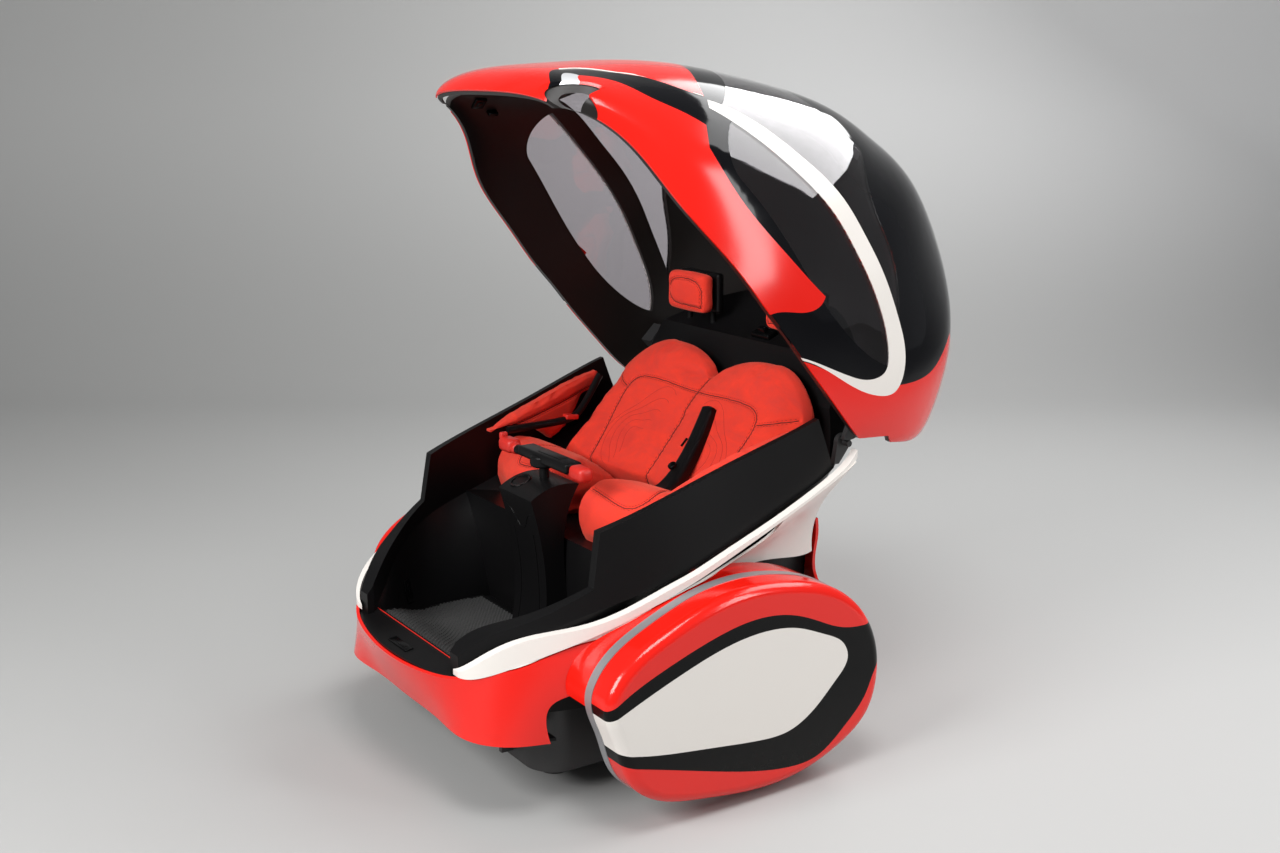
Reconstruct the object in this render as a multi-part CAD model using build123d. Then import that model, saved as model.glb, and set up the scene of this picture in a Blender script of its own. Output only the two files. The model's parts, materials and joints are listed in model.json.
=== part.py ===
from build123d import *
import math
import os
from dataclasses import dataclass

os.makedirs("parts", exist_ok=True)

# Two-seat, two-wheel electric mobility pod with a clamshell canopy, shown with the canopy open.
# Millimetres. +X is the vehicle's left, -Y is forward, +Z is up and the floor is z = 0.
# Pieces are drawn from the wheel axle (y = 0); export() moves them so that the origin lies
# in the middle of the footprint.

# ---------------------------------------------------------------- driving sizes
AXLE_FORWARD = 117.0          # the axle lies this far ahead of the middle of the footprint

# wheels and axle
WHEEL_RADIUS = 280.0
TYRE_WIDTH = 92.0
TYRE_HEIGHT = 58.0            # tread to bead seat
TYRE_SHOULDER = 26.0
WHEEL_CENTRE_X = 566.0
RIM_WALL = 8.0
RIM_SPOKES = 6
SPOKE_WIDTH = 46.0
SPOKE_THICKNESS = 20.0
HUB_RADIUS = 66.0
HUB_LENGTH = 70.0
AXLE_RADIUS = 21.0
AXLE_CLEARANCE = 0.05         # running fit of the stub axle in the hub
KNUCKLE_GAP = 6.0             # hub's inner face to the knuckle
KNUCKLE_RADIUS = 88.0
AXLE_NUT_RADIUS = 34.0
AXLE_NUT_LENGTH = 14.0

# sill frame: the plane on which the canopy closes slopes up to the rear
SILL_ANGLE = 23.0
SILL_FRONT_Y = -790.0
SILL_FRONT_Z = 375.0

# canopy
SKIN = 6.0                    # outer skin and glazing
LINER = 16.0                  # inner frame moulding
SKIN_GAP = 2.0                # adhesive line between the skin and the moulding
SEAL_GAP = 8.0                # canopy's edge to the tub's rim, closed
OPEN_ANGLE = 71.3
HINGE_U = 1288.0
HINGE_W = 8.4
HINGE_PIN_RADIUS = 9.0
HINGE_PIN_CLEARANCE = 0.05
HINGE_EYE_RADIUS = 25.0
HINGE_ARM_THICKNESS = 16.0
HINGE_ARM_X = 500.0           # inner face of each hinge arm
HINGE_SIDE_GAP = 5.5

# tub
TUB_WALL = 20.0
TUB_FLOOR_Z = 262.0           # underside of the cabin floor
FOOT_FLOOR_Z = 300.0          # top of the cabin floor behind the foot ramp
HINGE_EDGE_Z = 826.0          # top of the tub's rear wall, which carries hinges and bulkhead
RIM_BAND = 16.0               # depth of the white band round the rim
RIM_BAND_WALL = 26.0

# nose and fenders
CHIN_Z = 221.0
NOSE_WALL = 9.0
FENDER_WALL = 10.0
FENDER_INNER_X = 505.0
FENDER_OUTER_X = 598.0

# side pods
POD_INNER_X = 628.0
POD_OUTER_X = 712.0
POD_WALL = 8.0
POD_ROUND = 30.0
POD_TRIM_PROUD = 2.0
POD_TRIM_DEPTH = 10.0

# chassis
CHASSIS_TOP_Z = 262.0
CHASSIS_BOTTOM_Z = 84.0
CHASSIS_HALF_WIDTH = 415.0
CHASSIS_FRONT_Y = -560.0
CHASSIS_REAR_Y = 400.0
CHASSIS_WALL = 12.0
BATTERY_GAP = 10.0
FOOT_HALF_WIDTH = 270.0
FOOT_ROUND = 40.0
FOOT_DEPTH = 90.0
FOOT_FRONT_Y = -410.0
FOOT_REAR_Y = 330.0
FOOT_PAD = 12.0
FOOT_PLATE = 12.0
STEM_TOP_Z = 190.0
GUIDE_TOP_Z = 180.0
FOOT_STEM_RADIUS = 24.0
FOOT_STEM_X = 120.0
FOOT_STEM_CLEARANCE = 0.08

SEAT_GAP = 0.4                # soft parts to their neighbours

SIN = math.sin(math.radians(SILL_ANGLE))
COS = math.cos(math.radians(SILL_ANGLE))


# ---------------------------------------------------------------- frames and helpers
def sill_point(x, u, w):
    """A point from its place in the sill frame: across, up the slope and square to it."""
    return Vector(x, SILL_FRONT_Y + u * COS - w * SIN, SILL_FRONT_Z + u * SIN + w * COS)


SILL_SIDE = Plane(origin=sill_point(0, 0, 0), x_dir=(0, COS, SIN), z_dir=(1, 0, 0))
SILL_PLAN = Plane(origin=sill_point(0, 0, 0), x_dir=(1, 0, 0), z_dir=(0, -SIN, COS))
SIDE = Plane(origin=(0, 0, 0), x_dir=(0, 1, 0), z_dir=(1, 0, 0))
HINGE = sill_point(0, HINGE_U, HINGE_W)
HINGE_AXIS = Axis(HINGE, (1, 0, 0))


def region(*runs):
    """A flat face bounded by runs of points: two points make a line, more make a curve."""
    edges = [Line(*run) if len(run) == 2 else Spline(*run) for run in runs]
    return Face(Wire(edges))


def bar(plane, face, start, end):
    """A prism on a face drawn in a plane, from one distance along its normal to another."""
    return extrude(plane.location * Pos(0, 0, start) * face, end - start, dir=plane.z_dir)


def both(shape):
    """A left-hand piece together with its right-hand twin, as separate solids."""
    return Compound(shape.solids() + mirror(shape, Plane.YZ).solids())


def block(x0, x1, y0, y1, z0, z1):
    """A box between two corners."""
    return Pos((x0 + x1) / 2, (y0 + y1) / 2, (z0 + z1) / 2) * Box(x1 - x0, y1 - y0, z1 - z0)


def rod(x0, x1, y, z, radius):
    """A round bar across the vehicle."""
    return Pos((x0 + x1) / 2, y, z) * Rot(0, 90, 0) * Cylinder(radius, x1 - x0)


def opened(shape):
    """A canopy piece swung from its closed place to the open one."""
    return shape.rotate(HINGE_AXIS, -OPEN_ANGLE)


# skins whose thin corners stay sound only when their edges are written without curves on the faces
THIN_CORNERED = ("flank_panels", "canopy_band", "windshield")


def export(name, shape):
    """Write one piece, measured from the middle of the footprint."""
    solids = shape.solids()
    moved = Pos(0, -AXLE_FORWARD, 0) * (solids[0] if len(solids) == 1 else Compound(solids))
    export_step(moved, f"parts/{name}.step", write_pcurves=name not in THIN_CORNERED)


# ---------------------------------------------------------------- canopy dome
@dataclass(frozen=True)
class Rib:
    """One arch of the canopy: its feet on the sill and its crown, in the sill frame."""
    half_width: float
    foot_u: float
    foot_w: float
    crown_u: float
    crown_w: float
    fullness: float


RIBS = (
    Rib(316, 44, 12, -25, -2, 2.6),
    Rib(408, 125, 50, 5, 124, 2.5),
    Rib(470, 235, 50, 92, 238, 2.4),
    Rib(530, 350, 26, 217, 387, 2.35),
    Rib(572, 480, 18, 380, 538, 2.3),
    Rib(600, 650, 14, 620, 715, 2.3),
    Rib(606, 830, 10, 860, 825, 2.25),
    Rib(606, 1000, 6, 1100, 860, 2.25),
    Rib(600, 1130, 6, 1330, 795, 2.25),
    Rib(588, 1220, 10, 1525, 660, 2.25),
    Rib(572, 1270, 20, 1635, 490, 2.2),
    Rib(560, 1300, 34, 1665, 375, 2.2),
    Rib(548, 1320, 60, 1645, 290, 2.1),
)
RIB_STEPS = 14


def rib_face(rib, inset, leg):
    """One arch as a flat face, drawn in by a wall and reaching down past its feet by a leg."""
    run_u, run_w = rib.crown_u - rib.foot_u, rib.crown_w - rib.foot_w
    length = math.hypot(run_u, run_w)
    run_u, run_w = run_u / length, run_w / length
    half, rise = rib.half_width - inset, length - inset
    power = 2 / rib.fullness

    def place(x, s):
        return sill_point(x, rib.foot_u + run_u * s, rib.foot_w + run_w * s)

    arch = []
    for step in range(RIB_STEPS + 1):
        angle = math.pi * step / RIB_STEPS
        across, up = math.cos(angle), abs(math.sin(angle))
        arch.append(place(half * math.copysign(abs(across) ** power, across), rise * up ** power))
    up_dir = place(0, 1) - place(0, 0)
    edges = [Spline(*arch, tangents=[up_dir, up_dir * -1])]
    if leg:
        edges.append(Line(arch[-1], place(-half, -leg)))
        edges.append(Line(place(-half, -leg), place(half, -leg)))
        edges.append(Line(place(half, -leg), arch[0]))
    else:
        edges.append(Line(arch[-1], arch[0]))
    return Face(Wire(edges))


def dome(inset, leg=0.0):
    """The canopy's form as a filled solid, drawn in by a wall."""
    return loft([rib_face(rib, inset, leg) for rib in RIBS])


def largest(shape):
    """The main solid of a cut, without the slivers left at the sill."""
    return max(shape.solids(), key=lambda solid: solid.volume)


LEG = 30.0                    # the hollow runs this far below the feet, so that it stays open
dome_outer = dome(0)
dome_middle = dome(SKIN + SKIN_GAP)
dome_cavity = dome(SKIN + LINER, LEG)
# the lower rear corners stop short of the hinges
corner_trim = bar(SILL_SIDE, region(
    [(1250, -100), (1250, 12)], [(1250, 12), (1345, 100)], [(1345, 100), (1420, 100)],
    [(1420, 100), (1420, -100)], [(1420, -100), (1250, -100)]), -700, 700)
# the front corners of the lip are rounded off in plan
LIP_CORNER = ((190, -24), (262, -12), (304, 16), (330, 52), (362, 84))
lip_trim = bar(SILL_PLAN, region(
    LIP_CORNER, [LIP_CORNER[-1], (460, -120)], [(460, -120), (190, -120)], [(190, -120), LIP_CORNER[0]],
), -100, 260)
edge_trim = corner_trim + both(lip_trim)
skin_layer = largest(dome_outer - dome(SKIN, LEG) - edge_trim)
liner_layer = largest(dome_middle - dome_cavity - edge_trim)

# ---------------------------------------------------------------- canopy panel outlines
REACH = 760.0                 # prisms run well past the widest piece


def side_cut(*runs):
    """A prism through the whole width, drawn on the side of the sill frame."""
    return bar(SILL_SIDE, region(*runs), -REACH, REACH)


# white hoop over each side window: along the top, round the tail and back to a point at the sill
hoop_cut = side_cut(
    [(292, 318), (432, 377), (560, 400), (708, 416), (895, 392), (1110, 331), (1222, 262),
     (1247, 190), (1200, 132), (1053, 64), (880, -20)],
    [(880, -20), (872, -14)],
    [(872, -14), (964, 40), (1079, 96), (1146, 146), (1168, 196), (1128, 246), (1010, 300),
     (861, 338), (709, 356), (560, 347), (439, 330), (298, 296)],
    [(298, 296), (292, 318)],
)
# side window: bounded above by the hoop
window_cut = side_cut(
    [(360, 322), (366, 250), (395, 214), (440, 194)],
    [(440, 194), (640, 178), (938, 156), (1060, 172), (1135, 196), (1160, 210)],
    [(1160, 210), (1172, 216)],
    [(1172, 216), (1110, 290), (895, 365), (708, 386), (560, 372), (420, 346)],
    [(420, 346), (360, 322)],
) - hoop_cut
# red flank panel along the sill, from the lamp to a rounded tip
flank_cut = side_cut(
    [(118, 20), (92, 62), (52, 84), (38, 106), (44, 132)],
    [(44, 132), (72, 157), (113, 182), (166, 194), (222, 214), (303, 239)],
    [(303, 239), (318, 214), (334, 192)],
    [(334, 192), (368, 180), (463, 156), (640, 152), (800, 166), (842, 172)],
    [(842, 172), (846, 140), (822, 96), (780, 58), (730, -40)],
    [(730, -40), (118, -40)],
    [(118, -40), (118, 20)],
)
# crescent lamp round the front end of the flank panel
lamp_cut = side_cut(
    [(84, -20), (44, 24), (18, 50), (12, 84), (24, 118), (40, 130)],
    [(40, 130), (80, 120)],
    [(80, 120), (118, -20)],
    [(118, -20), (84, -20)],
) - flank_cut
# red tail panel: the rear lower border
TAIL_EDGE = ((1232, 196), (1293, 262), (1350, 352), (1372, 440), (1390, 520))
tail_cut = side_cut(
    [(876, -17), (1000, 48), (1110, 104), (1180, 150), (1206, 192)],
    [(1206, 192), TAIL_EDGE[0]],
    TAIL_EDGE,
    [TAIL_EDGE[-1], (1800, 520)],
    [(1800, 520), (1800, -60)],
    [(1800, -60), (876, -60)],
    [(876, -60), (876, -17)],
) - hoop_cut
# everything above the middle of the hoop and behind the front band is the top glass
glass_cut = side_cut(
    [(322, 318), (432, 354), (560, 374), (708, 388), (895, 366), (1090, 318), (1150, 286)],
    [(1150, 286), (1150, 1000)],
    [(1150, 1000), (362, 1000)],
    [(362, 1000), (352, 470), (322, 318)],
) - hoop_cut
# opaque roof: behind a curve that falls from the crown to the tail of the hoop
roof_side = side_cut(
    [(740, 1000), (745, 640), (790, 540), (999, 424), (1150, 292), (1180, 262)],
    [(1180, 262), TAIL_EDGE[0]],
    TAIL_EDGE,
    [TAIL_EDGE[-1], (1800, 520)],
    [(1800, 520), (1800, 1000)],
    [(1800, 1000), (740, 1000)],
)
ROOF_LOBE_HALF_WIDTH = 418.0
roof_lobe = bar(SILL_PLAN, region(
    [(-ROOF_LOBE_HALF_WIDTH, 770), (-360, 640), (-250, 574), (0, 548), (250, 574), (360, 640),
     (ROOF_LOBE_HALF_WIDTH, 770)],
    [(ROOF_LOBE_HALF_WIDTH, 770), (-ROOF_LOBE_HALF_WIDTH, 770)],
), 440, 1000)
roof_cut = (roof_side + roof_lobe) - hoop_cut
# red face panel over the nose, down to the black band above each flank panel
face_cut = side_cut(
    [(40, -60), (16, 8), (3, 38)],
    [(3, 38), (-2, 60), (9, 110), (27, 136), (72, 187), (119, 225), (165, 260), (218, 287), (284, 322)],
    [(284, 322), (274, 372), (284, 430), (306, 486), (312, 560)],
    [(312, 560), (-200, 560)],
    [(-200, 560), (-200, -60)],
    [(-200, -60), (40, -60)],
)

# ---------------------------------------------------------------- canopy pieces, closed
LEFT = block(1.0, REACH, -1200, 1200, 0, 2200)
HALF = block(0, REACH, -1200, 1200, 0, 2200)
SMALLEST = 20000.0            # slivers below this volume are dropped


def pair(shape):
    """The left part of a symmetric cut together with its mirror image."""
    return both(shape & LEFT)


def across(shape):
    """A piece that crosses the middle: its left half joined to that half's mirror image."""
    half = shape & HALF
    return half + mirror(half, Plane.YZ)


canopy = {
    "canopy_face_panel": across(skin_layer & face_cut),
    "windshield": (skin_layer & glass_cut) - roof_cut,
    "roof_panel": across(skin_layer & roof_cut),
    "tail_panel": across(skin_layer & tail_cut),
    "window_hoops": pair(skin_layer & hoop_cut),
    "side_windows": pair(skin_layer & (window_cut - flank_cut)),
    "flank_panels": pair(skin_layer & flank_cut),
    "crescent_lamps": both(largest(skin_layer & (lamp_cut - face_cut) & LEFT)),
}
front_band = skin_layer
for cut in (face_cut, glass_cut, roof_cut, tail_cut, hoop_cut, window_cut, flank_cut, lamp_cut):
    front_band = front_band - cut
canopy["canopy_band"] = Compound([solid for solid in across(front_band).solids() if solid.volume > SMALLEST])
canopy["canopy_liner"] = largest(across(liner_layer - (glass_cut - roof_cut) - window_cut))

arm_x = (HINGE_ARM_X, HINGE_ARM_X + HINGE_ARM_THICKNESS)
arm_outline = region(
    [(HINGE_U - HINGE_EYE_RADIUS, HINGE_W), (HINGE_U - 60, 90), (HINGE_U - 90, 190)],
    [(HINGE_U - 90, 190), (HINGE_U + 20, 230)],
    [(HINGE_U + 20, 230), (HINGE_U + 18, 90), (HINGE_U + HINGE_EYE_RADIUS, HINGE_W)],
    [(HINGE_U + HINGE_EYE_RADIUS, HINGE_W), (HINGE_U - HINGE_EYE_RADIUS, HINGE_W)],
)
pad_outline = region(
    [(HINGE_U - 84, 120), (HINGE_U - 90, 190)],
    [(HINGE_U - 90, 190), (HINGE_U + 20, 230)],
    [(HINGE_U + 20, 230), (HINGE_U + 20, 120)],
    [(HINGE_U + 20, 120), (HINGE_U - 84, 120)],
)
arm_eye = rod(*arm_x, HINGE.Y, HINGE.Z, HINGE_EYE_RADIUS)
arm_bore = rod(arm_x[0] - 1, arm_x[1] + 1, HINGE.Y, HINGE.Z, HINGE_PIN_RADIUS + HINGE_PIN_CLEARANCE)
arm_left = (bar(SILL_SIDE, arm_outline, *arm_x) + arm_eye) - arm_bore
arm_left = arm_left + bar(SILL_SIDE, pad_outline, arm_x[1], REACH)
ARM_FIT = 0.3                 # the arm's pad to the moulding
canopy["hinge_arms"] = both(largest(arm_left & dome(SKIN + LINER + ARM_FIT, LEG)))

# ---------------------------------------------------------------- nose and fenders
LIP_W = -10.0                 # the nose's lip and the haunches stop this far below the sill
LIP_REAR_U = 520.0
LIP_HALF = ((0, -25), (190, -8), (340, 44), (425, 130), (506, 307), (562, 435), (574, LIP_REAR_U))
CHIN_REAR_Y = -360.0
CHIN_HALF = ((0, -754), (200, -754), (372, -748), (450, -690), (498, -572), (528, -460),
             (545, CHIN_REAR_Y))


def bow(half, inset):
    """A symmetric bow-shaped face from the points of its left half, drawn in by a wall."""
    half_width, rear = half[-1]
    across = (half_width - inset) / half_width
    along = (rear - half[0][1] - inset) / (rear - half[0][1])
    left = [(x * across, rear - (rear - y) * along) for x, y in half]
    right = [(-x, y) for x, y in reversed(left[1:])]
    return region(right + left, [left[-1], right[0]])


def nose_form(inset):
    """The nose as a filled solid from the sloping lip down to the level chin."""
    lip = SILL_PLAN.location * Pos(0, 0, LIP_W) * bow(LIP_HALF, inset)
    return loft([lip, Pos(0, 0, CHIN_Z) * bow(CHIN_HALF, inset)])


def side_profile(*runs):
    """A prism through the whole width, drawn on the vehicle's side in y and z."""
    return bar(SIDE, region(*runs), -REACH, REACH)


nose_outer = nose_form(0)
nose_cavity = nose_form(NOSE_WALL)
nose_layer = nose_outer - nose_cavity
# what the front wheel openings leave of the nose, and the white wedge above it
nose_keep = side_profile(
    [(-900, 200), (-572, 197)],
    [(-572, 197), (-588, 255), (-578, 318), (-520, 345), (-420, 360), (-330, 362)],
    [(-330, 362), (-330, 512)],
    [(-330, 512), (-472, 484), (-562, 455), (-631, 425), (-700, 405), (-751, 392)],
    [(-751, 392), (-800, 470)],
    [(-800, 470), (-900, 470)],
    [(-900, 470), (-900, 200)],
)
wedge_keep = side_profile(
    [(-330, 516), (-472, 488), (-562, 459), (-631, 429), (-700, 409), (-748, 398)],
    [(-748, 398), (-748, 700)],
    [(-748, 700), (-330, 700)],
    [(-330, 700), (-330, 516)],
)
body = {}
body["nose_apron"] = nose_layer & nose_keep
body["front_wedges"] = pair(nose_layer & wedge_keep)


def sill_height(y, w):
    """Height of a line parallel to the sill at a place along the vehicle."""
    return SILL_FRONT_Z + (y - SILL_FRONT_Y + w * SIN) / COS * SIN + w * COS


# white band round the rim of the tub, under the canopy's edge
def rim_section(rib):
    foot = sill_point(rib.half_width, rib.foot_u, rib.foot_w - SEAL_GAP)
    low = LIP_W - 12
    outer, inner = foot.X, foot.X - RIM_BAND_WALL
    base = sill_height(foot.Y, low)
    return Plane(origin=(0, foot.Y, 0), x_dir=(1, 0, 0), z_dir=(0, -1, 0)).location * Face(
        Polyline((outer, base), (outer, foot.Z), (inner, foot.Z), (inner, base), close=True).wire())


RIM_RIBS = RIBS[:11]
rim_band = loft([rim_section(rib) for rib in RIM_RIBS])
above_lip = bar(SILL_PLAN, Rectangle(2 * REACH, 2 * 3000).face(), LIP_W, 400)
rim_left = rim_band & above_lip


# ---------------------------------------------------------------- haunches
@dataclass(frozen=True)
class Station:
    """One cross-section: its place along the vehicle and half-widths with their heights."""
    y: float
    points: tuple


HAUNCH = (
    Station(-335, ((578, sill_height(-335, LIP_W)), (564, 552), (538, 530), (512, 505))),
    Station(-199, ((598, sill_height(-199, LIP_W)), (574, 588), (534, 566), (507, 545))),
    Station(0, ((604, sill_height(0, LIP_W)), (562, 650), (516, 618), (492, 580))),
    Station(150, ((604, sill_height(150, LIP_W)), (552, 704), (496, 650), (466, 575))),
    Station(280, ((598, sill_height(280, LIP_W)), (534, 744), (466, 665), (430, 550))),
    Station(362, ((584, sill_height(362, LIP_W)), (505, 772), (432, 680), (404, 545))),
)
HAUNCH_WALL = 10.0


def haunch_section(station, outward, inward):
    """A curved strip across the vehicle, thickened about the station's own line."""
    outer = [(x + outward, z) for x, z in station.points]
    inner = [(x - inward, z) for x, z in reversed(station.points)]
    face = region(outer, [outer[-1], inner[0]], inner, [inner[-1], outer[0]])
    return Plane(origin=(0, station.y, 0), x_dir=(1, 0, 0), z_dir=(0, -1, 0)).location * face


haunch_keep = side_profile(
    [(-322, 508), (-157, 592), (26, 655), (90, 735)],
    [(90, 735), (90, 1000)],
    [(90, 1000), (500, 1000)],
    [(500, 1000), (500, 400)],
    [(500, 400), (-322, 400)],
    [(-322, 400), (-322, 508)],
)
haunch_left = loft([haunch_section(s, 0, HAUNCH_WALL) for s in HAUNCH]) & haunch_keep
haunch_room = loft([haunch_section(s, 60, HAUNCH_WALL + 1) for s in HAUNCH])
haunch_fill = loft([haunch_section(s, 0, 200) for s in HAUNCH])
body["haunches"] = both(haunch_left)

# ---------------------------------------------------------------- tub
TUB = (
    Station(-745, ((282, 480), (290, 388), (285, 335), (272, TUB_FLOOR_Z))),
    Station(-600, ((396, 640), (408, 470), (390, 380), (368, TUB_FLOOR_Z))),
    Station(-440, ((480, 800), (508, 560), (468, 420), (428, TUB_FLOOR_Z))),
    Station(-199, ((516, 880), (556, 630), (468, 535), (430, TUB_FLOOR_Z))),
    Station(60, ((540, 960), (560, 735), (456, 585), (430, TUB_FLOOR_Z))),
    Station(290, ((548, 1045), (556, 830), (410, 600), (405, TUB_FLOOR_Z))),
    Station(376, ((520, 1060), (522, 880), (382, 630), (380, TUB_FLOOR_Z))),
)


def tub_section(station, inset, lift, y):
    """The tub's whole cross-section, drawn in by its wall."""
    left = [(x - inset, z) for x, z in station.points]
    left[-1] = (left[-1][0], left[-1][1] + lift)
    right = [(-x, z) for x, z in reversed(left)]
    face = region(left[:2], left[1:], [left[-1], right[0]], right[:-1], right[-2:],
                  [right[-1], left[0]])
    return Plane(origin=(0, y, 0), x_dir=(1, 0, 0), z_dir=(0, -1, 0)).location * face


def tub_form(inset, lift, stations=TUB):
    """The tub as a filled solid, drawn in by its wall at the sides and at both ends."""
    places = [s.y for s in stations]
    places[0] += inset
    places[-1] -= inset
    return loft([tub_section(s, inset, lift, y) for s, y in zip(stations, places)])


# the walls thicken outwards at the front, where they carry the sill flange
TUB_OUTER = (
    Station(-745, ((304, 500), (308, 388), (296, 335), (272, TUB_FLOOR_Z))),
    Station(-600, ((430, 640), (438, 490), (405, 380), (368, TUB_FLOOR_Z))),
    Station(-440, ((492, 800), (512, 560), (470, 420), (428, TUB_FLOOR_Z))),
) + TUB[3:]
tub_edge = side_profile(
    [(-800, 200), (-800, 374)],
    [(-800, 374), (-756, 420), (-696, 486), (-600, 538), (-520, 580), (-452, 616)],
    [(-452, 616), (-428, 762)],
    [(-428, 762), (244, 984)],
    [(244, 984), (296, 850)],
    [(296, 850), (314, 832), (340, HINGE_EDGE_Z)],
    [(340, HINGE_EDGE_Z), (500, HINGE_EDGE_Z)],
    [(500, HINGE_EDGE_Z), (500, 200)],
    [(500, 200), (-800, 200)],
)
FLOOR_Z = FOOT_FLOOR_Z - 8
above_floor = side_profile(
    [(-780, 1400), (-780, 366)],
    [(-780, 366), (-702, 366)],
    [(-702, 366), (-610, 332), (-540, FLOOR_Z + 8), (-470, FLOOR_Z)],
    [(-470, FLOOR_Z), (600, FLOOR_Z)],
    [(600, FLOOR_Z), (600, 1400)],
    [(600, 1400), (-780, 1400)],
)
DOORWAY_HALF_WIDTH = 262.0    # the step-in gap at the front, down to the threshold
doorway = block(-DOORWAY_HALF_WIDTH, DOORWAY_HALF_WIDTH, -900, -702, 0, 900) & above_floor
tub = (tub_form(0, 0, TUB_OUTER) & tub_edge) - (tub_form(TUB_WALL, 5) & above_floor) - doorway
tub = tub - both(haunch_room)
body["rim_bands"] = both(largest(rim_left - tub_form(0, 0, TUB_OUTER)))
body["tub"] = tub
tub_room = tub_form(TUB_WALL + SEAT_GAP, 5)   # what fits inside the tub's walls


def fitted(profile, x0, x1):
    """A piece drawn on the vehicle's side, between two widths, trimmed to the tub's walls."""
    return bar(SIDE, profile, x0, x1) & tub_room


# ---------------------------------------------------------------- cabin floor and threshold
PLATE = 12.0
plate_plan = SILL_PLAN.location * Pos(0, 0, LIP_W) * bow(LIP_HALF, NOSE_WALL + 1)
threshold_side = side_profile(
    [(-900, 344), (-702, 366)], [(-702, 366), (-702, 366 + PLATE)],
    [(-702, 366 + PLATE), (-900, 344 + PLATE)], [(-900, 344 + PLATE), (-900, 344)])
plan_bar = extrude(plate_plan, 300, both=True)
body["threshold_plate"] = threshold_side & plan_bar
body["tub"] = largest(body["tub"] - body["threshold_plate"])
MAT = 6.0
mat_length = block(-REACH, REACH, -700, -292, 0, 600)
body["floor_mat"] = (above_floor & mat_length & tub_room) - Pos(0, 0, MAT) * above_floor
body["belly_pan"] = (Pos(0, 0, CHIN_Z) * extrude(bow(CHIN_HALF, NOSE_WALL + 3), 8)) & block(
    -REACH, REACH, -900, CHASSIS_FRONT_Y, 0, 400)

# ---------------------------------------------------------------- seats and cabin furniture
SEAT_BASE_FRONT_Y = -286.0
base_outline = region(
    [(SEAT_BASE_FRONT_Y + 20, FOOT_FLOOR_Z - 8), (SEAT_BASE_FRONT_Y, 480), (SEAT_BASE_FRONT_Y + 6, 612)],
    [(SEAT_BASE_FRONT_Y + 6, 612), (60, 580)],
    [(60, 580), (300, 800)],
    [(300, 800), (354, 800)],
    [(354, 800), (354, FOOT_FLOOR_Z - 8)],
    [(354, FOOT_FLOOR_Z - 8), (SEAT_BASE_FRONT_Y + 20, FOOT_FLOOR_Z - 8)],
)
SEAT_SHELL = 12.0
base_room = region(
    [(SEAT_BASE_FRONT_Y + 20 + SEAT_SHELL, 200), (SEAT_BASE_FRONT_Y + SEAT_SHELL, 480)],
    [(SEAT_BASE_FRONT_Y + SEAT_SHELL, 480), (SEAT_BASE_FRONT_Y + 6 + SEAT_SHELL, 598)],
    [(SEAT_BASE_FRONT_Y + 6 + SEAT_SHELL, 598), (66, 568)],
    [(66, 568), (304, 786)],
    [(304, 786), (354 - SEAT_SHELL, 786)],
    [(354 - SEAT_SHELL, 786), (354 - SEAT_SHELL, 200)],
    [(354 - SEAT_SHELL, 200), (SEAT_BASE_FRONT_Y + 20 + SEAT_SHELL, 200)],
)
seat_hollow = bar(SIDE, base_room, -REACH, REACH) & tub_form(TUB_WALL + SEAT_GAP + SEAT_SHELL, -100)
body["seat_base"] = fitted(base_outline, -REACH, REACH) - seat_hollow
CONSOLE_HALF_WIDTH = 92.0
cushion_outline = region(
    [(-282, 614), (-316, 690), (-300, 768), (-236, 800), (-110, 772), (24, 706)],
    [(24, 706), (58, 584)],
    [(58, 584), (-282, 614)],
)
body["seat_cushions"] = both(fitted(cushion_outline, CONSOLE_HALF_WIDTH + SEAT_GAP, REACH))
back_outline = region(
    [(60, 584), (28, 706)],
    [(28, 706), (150, 846), (262, 990), (338, 1082), (372, 1096), (388, 1076)],
    [(388, 1076), (340, 960), (300, 804)],
    [(300, 804), (60, 584)],
)
NOTCH = 46.0
back = fitted(back_outline, -REACH, REACH)
back_notch = bar(Plane.XZ, region([(-NOTCH, 1200), (-NOTCH / 2, 1080), (0, 1030), (NOTCH / 2, 1080), (NOTCH, 1200)],
                                  [(NOTCH, 1200), (-NOTCH, 1200)]), -REACH, REACH)
SEAT_BACK_HALF_WIDTH = 488.0  # leaves room at each side for a hinge arm, canopy closed
body["seat_back"] = (back - back_notch) & block(
    -SEAT_BACK_HALF_WIDTH, SEAT_BACK_HALF_WIDTH, -REACH, REACH, 0, 1400)
console_outline = region(
    [(-372, FOOT_FLOOR_Z - 2), (-352, 450), (-372, 640), (-398, 742)],
    [(-398, 742), (-330, 772), (-240, 770)],
    [(-240, 770), (-292, 612), (SEAT_BASE_FRONT_Y - SEAT_GAP, 480), (SEAT_BASE_FRONT_Y + 18, FOOT_FLOOR_Z - 2)],
    [(SEAT_BASE_FRONT_Y + 18, FOOT_FLOOR_Z - 2), (-372, FOOT_FLOOR_Z - 2)],
)
console = bar(SIDE, console_outline, -CONSOLE_HALF_WIDTH, CONSOLE_HALF_WIDTH) - body["seat_base"]

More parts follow.
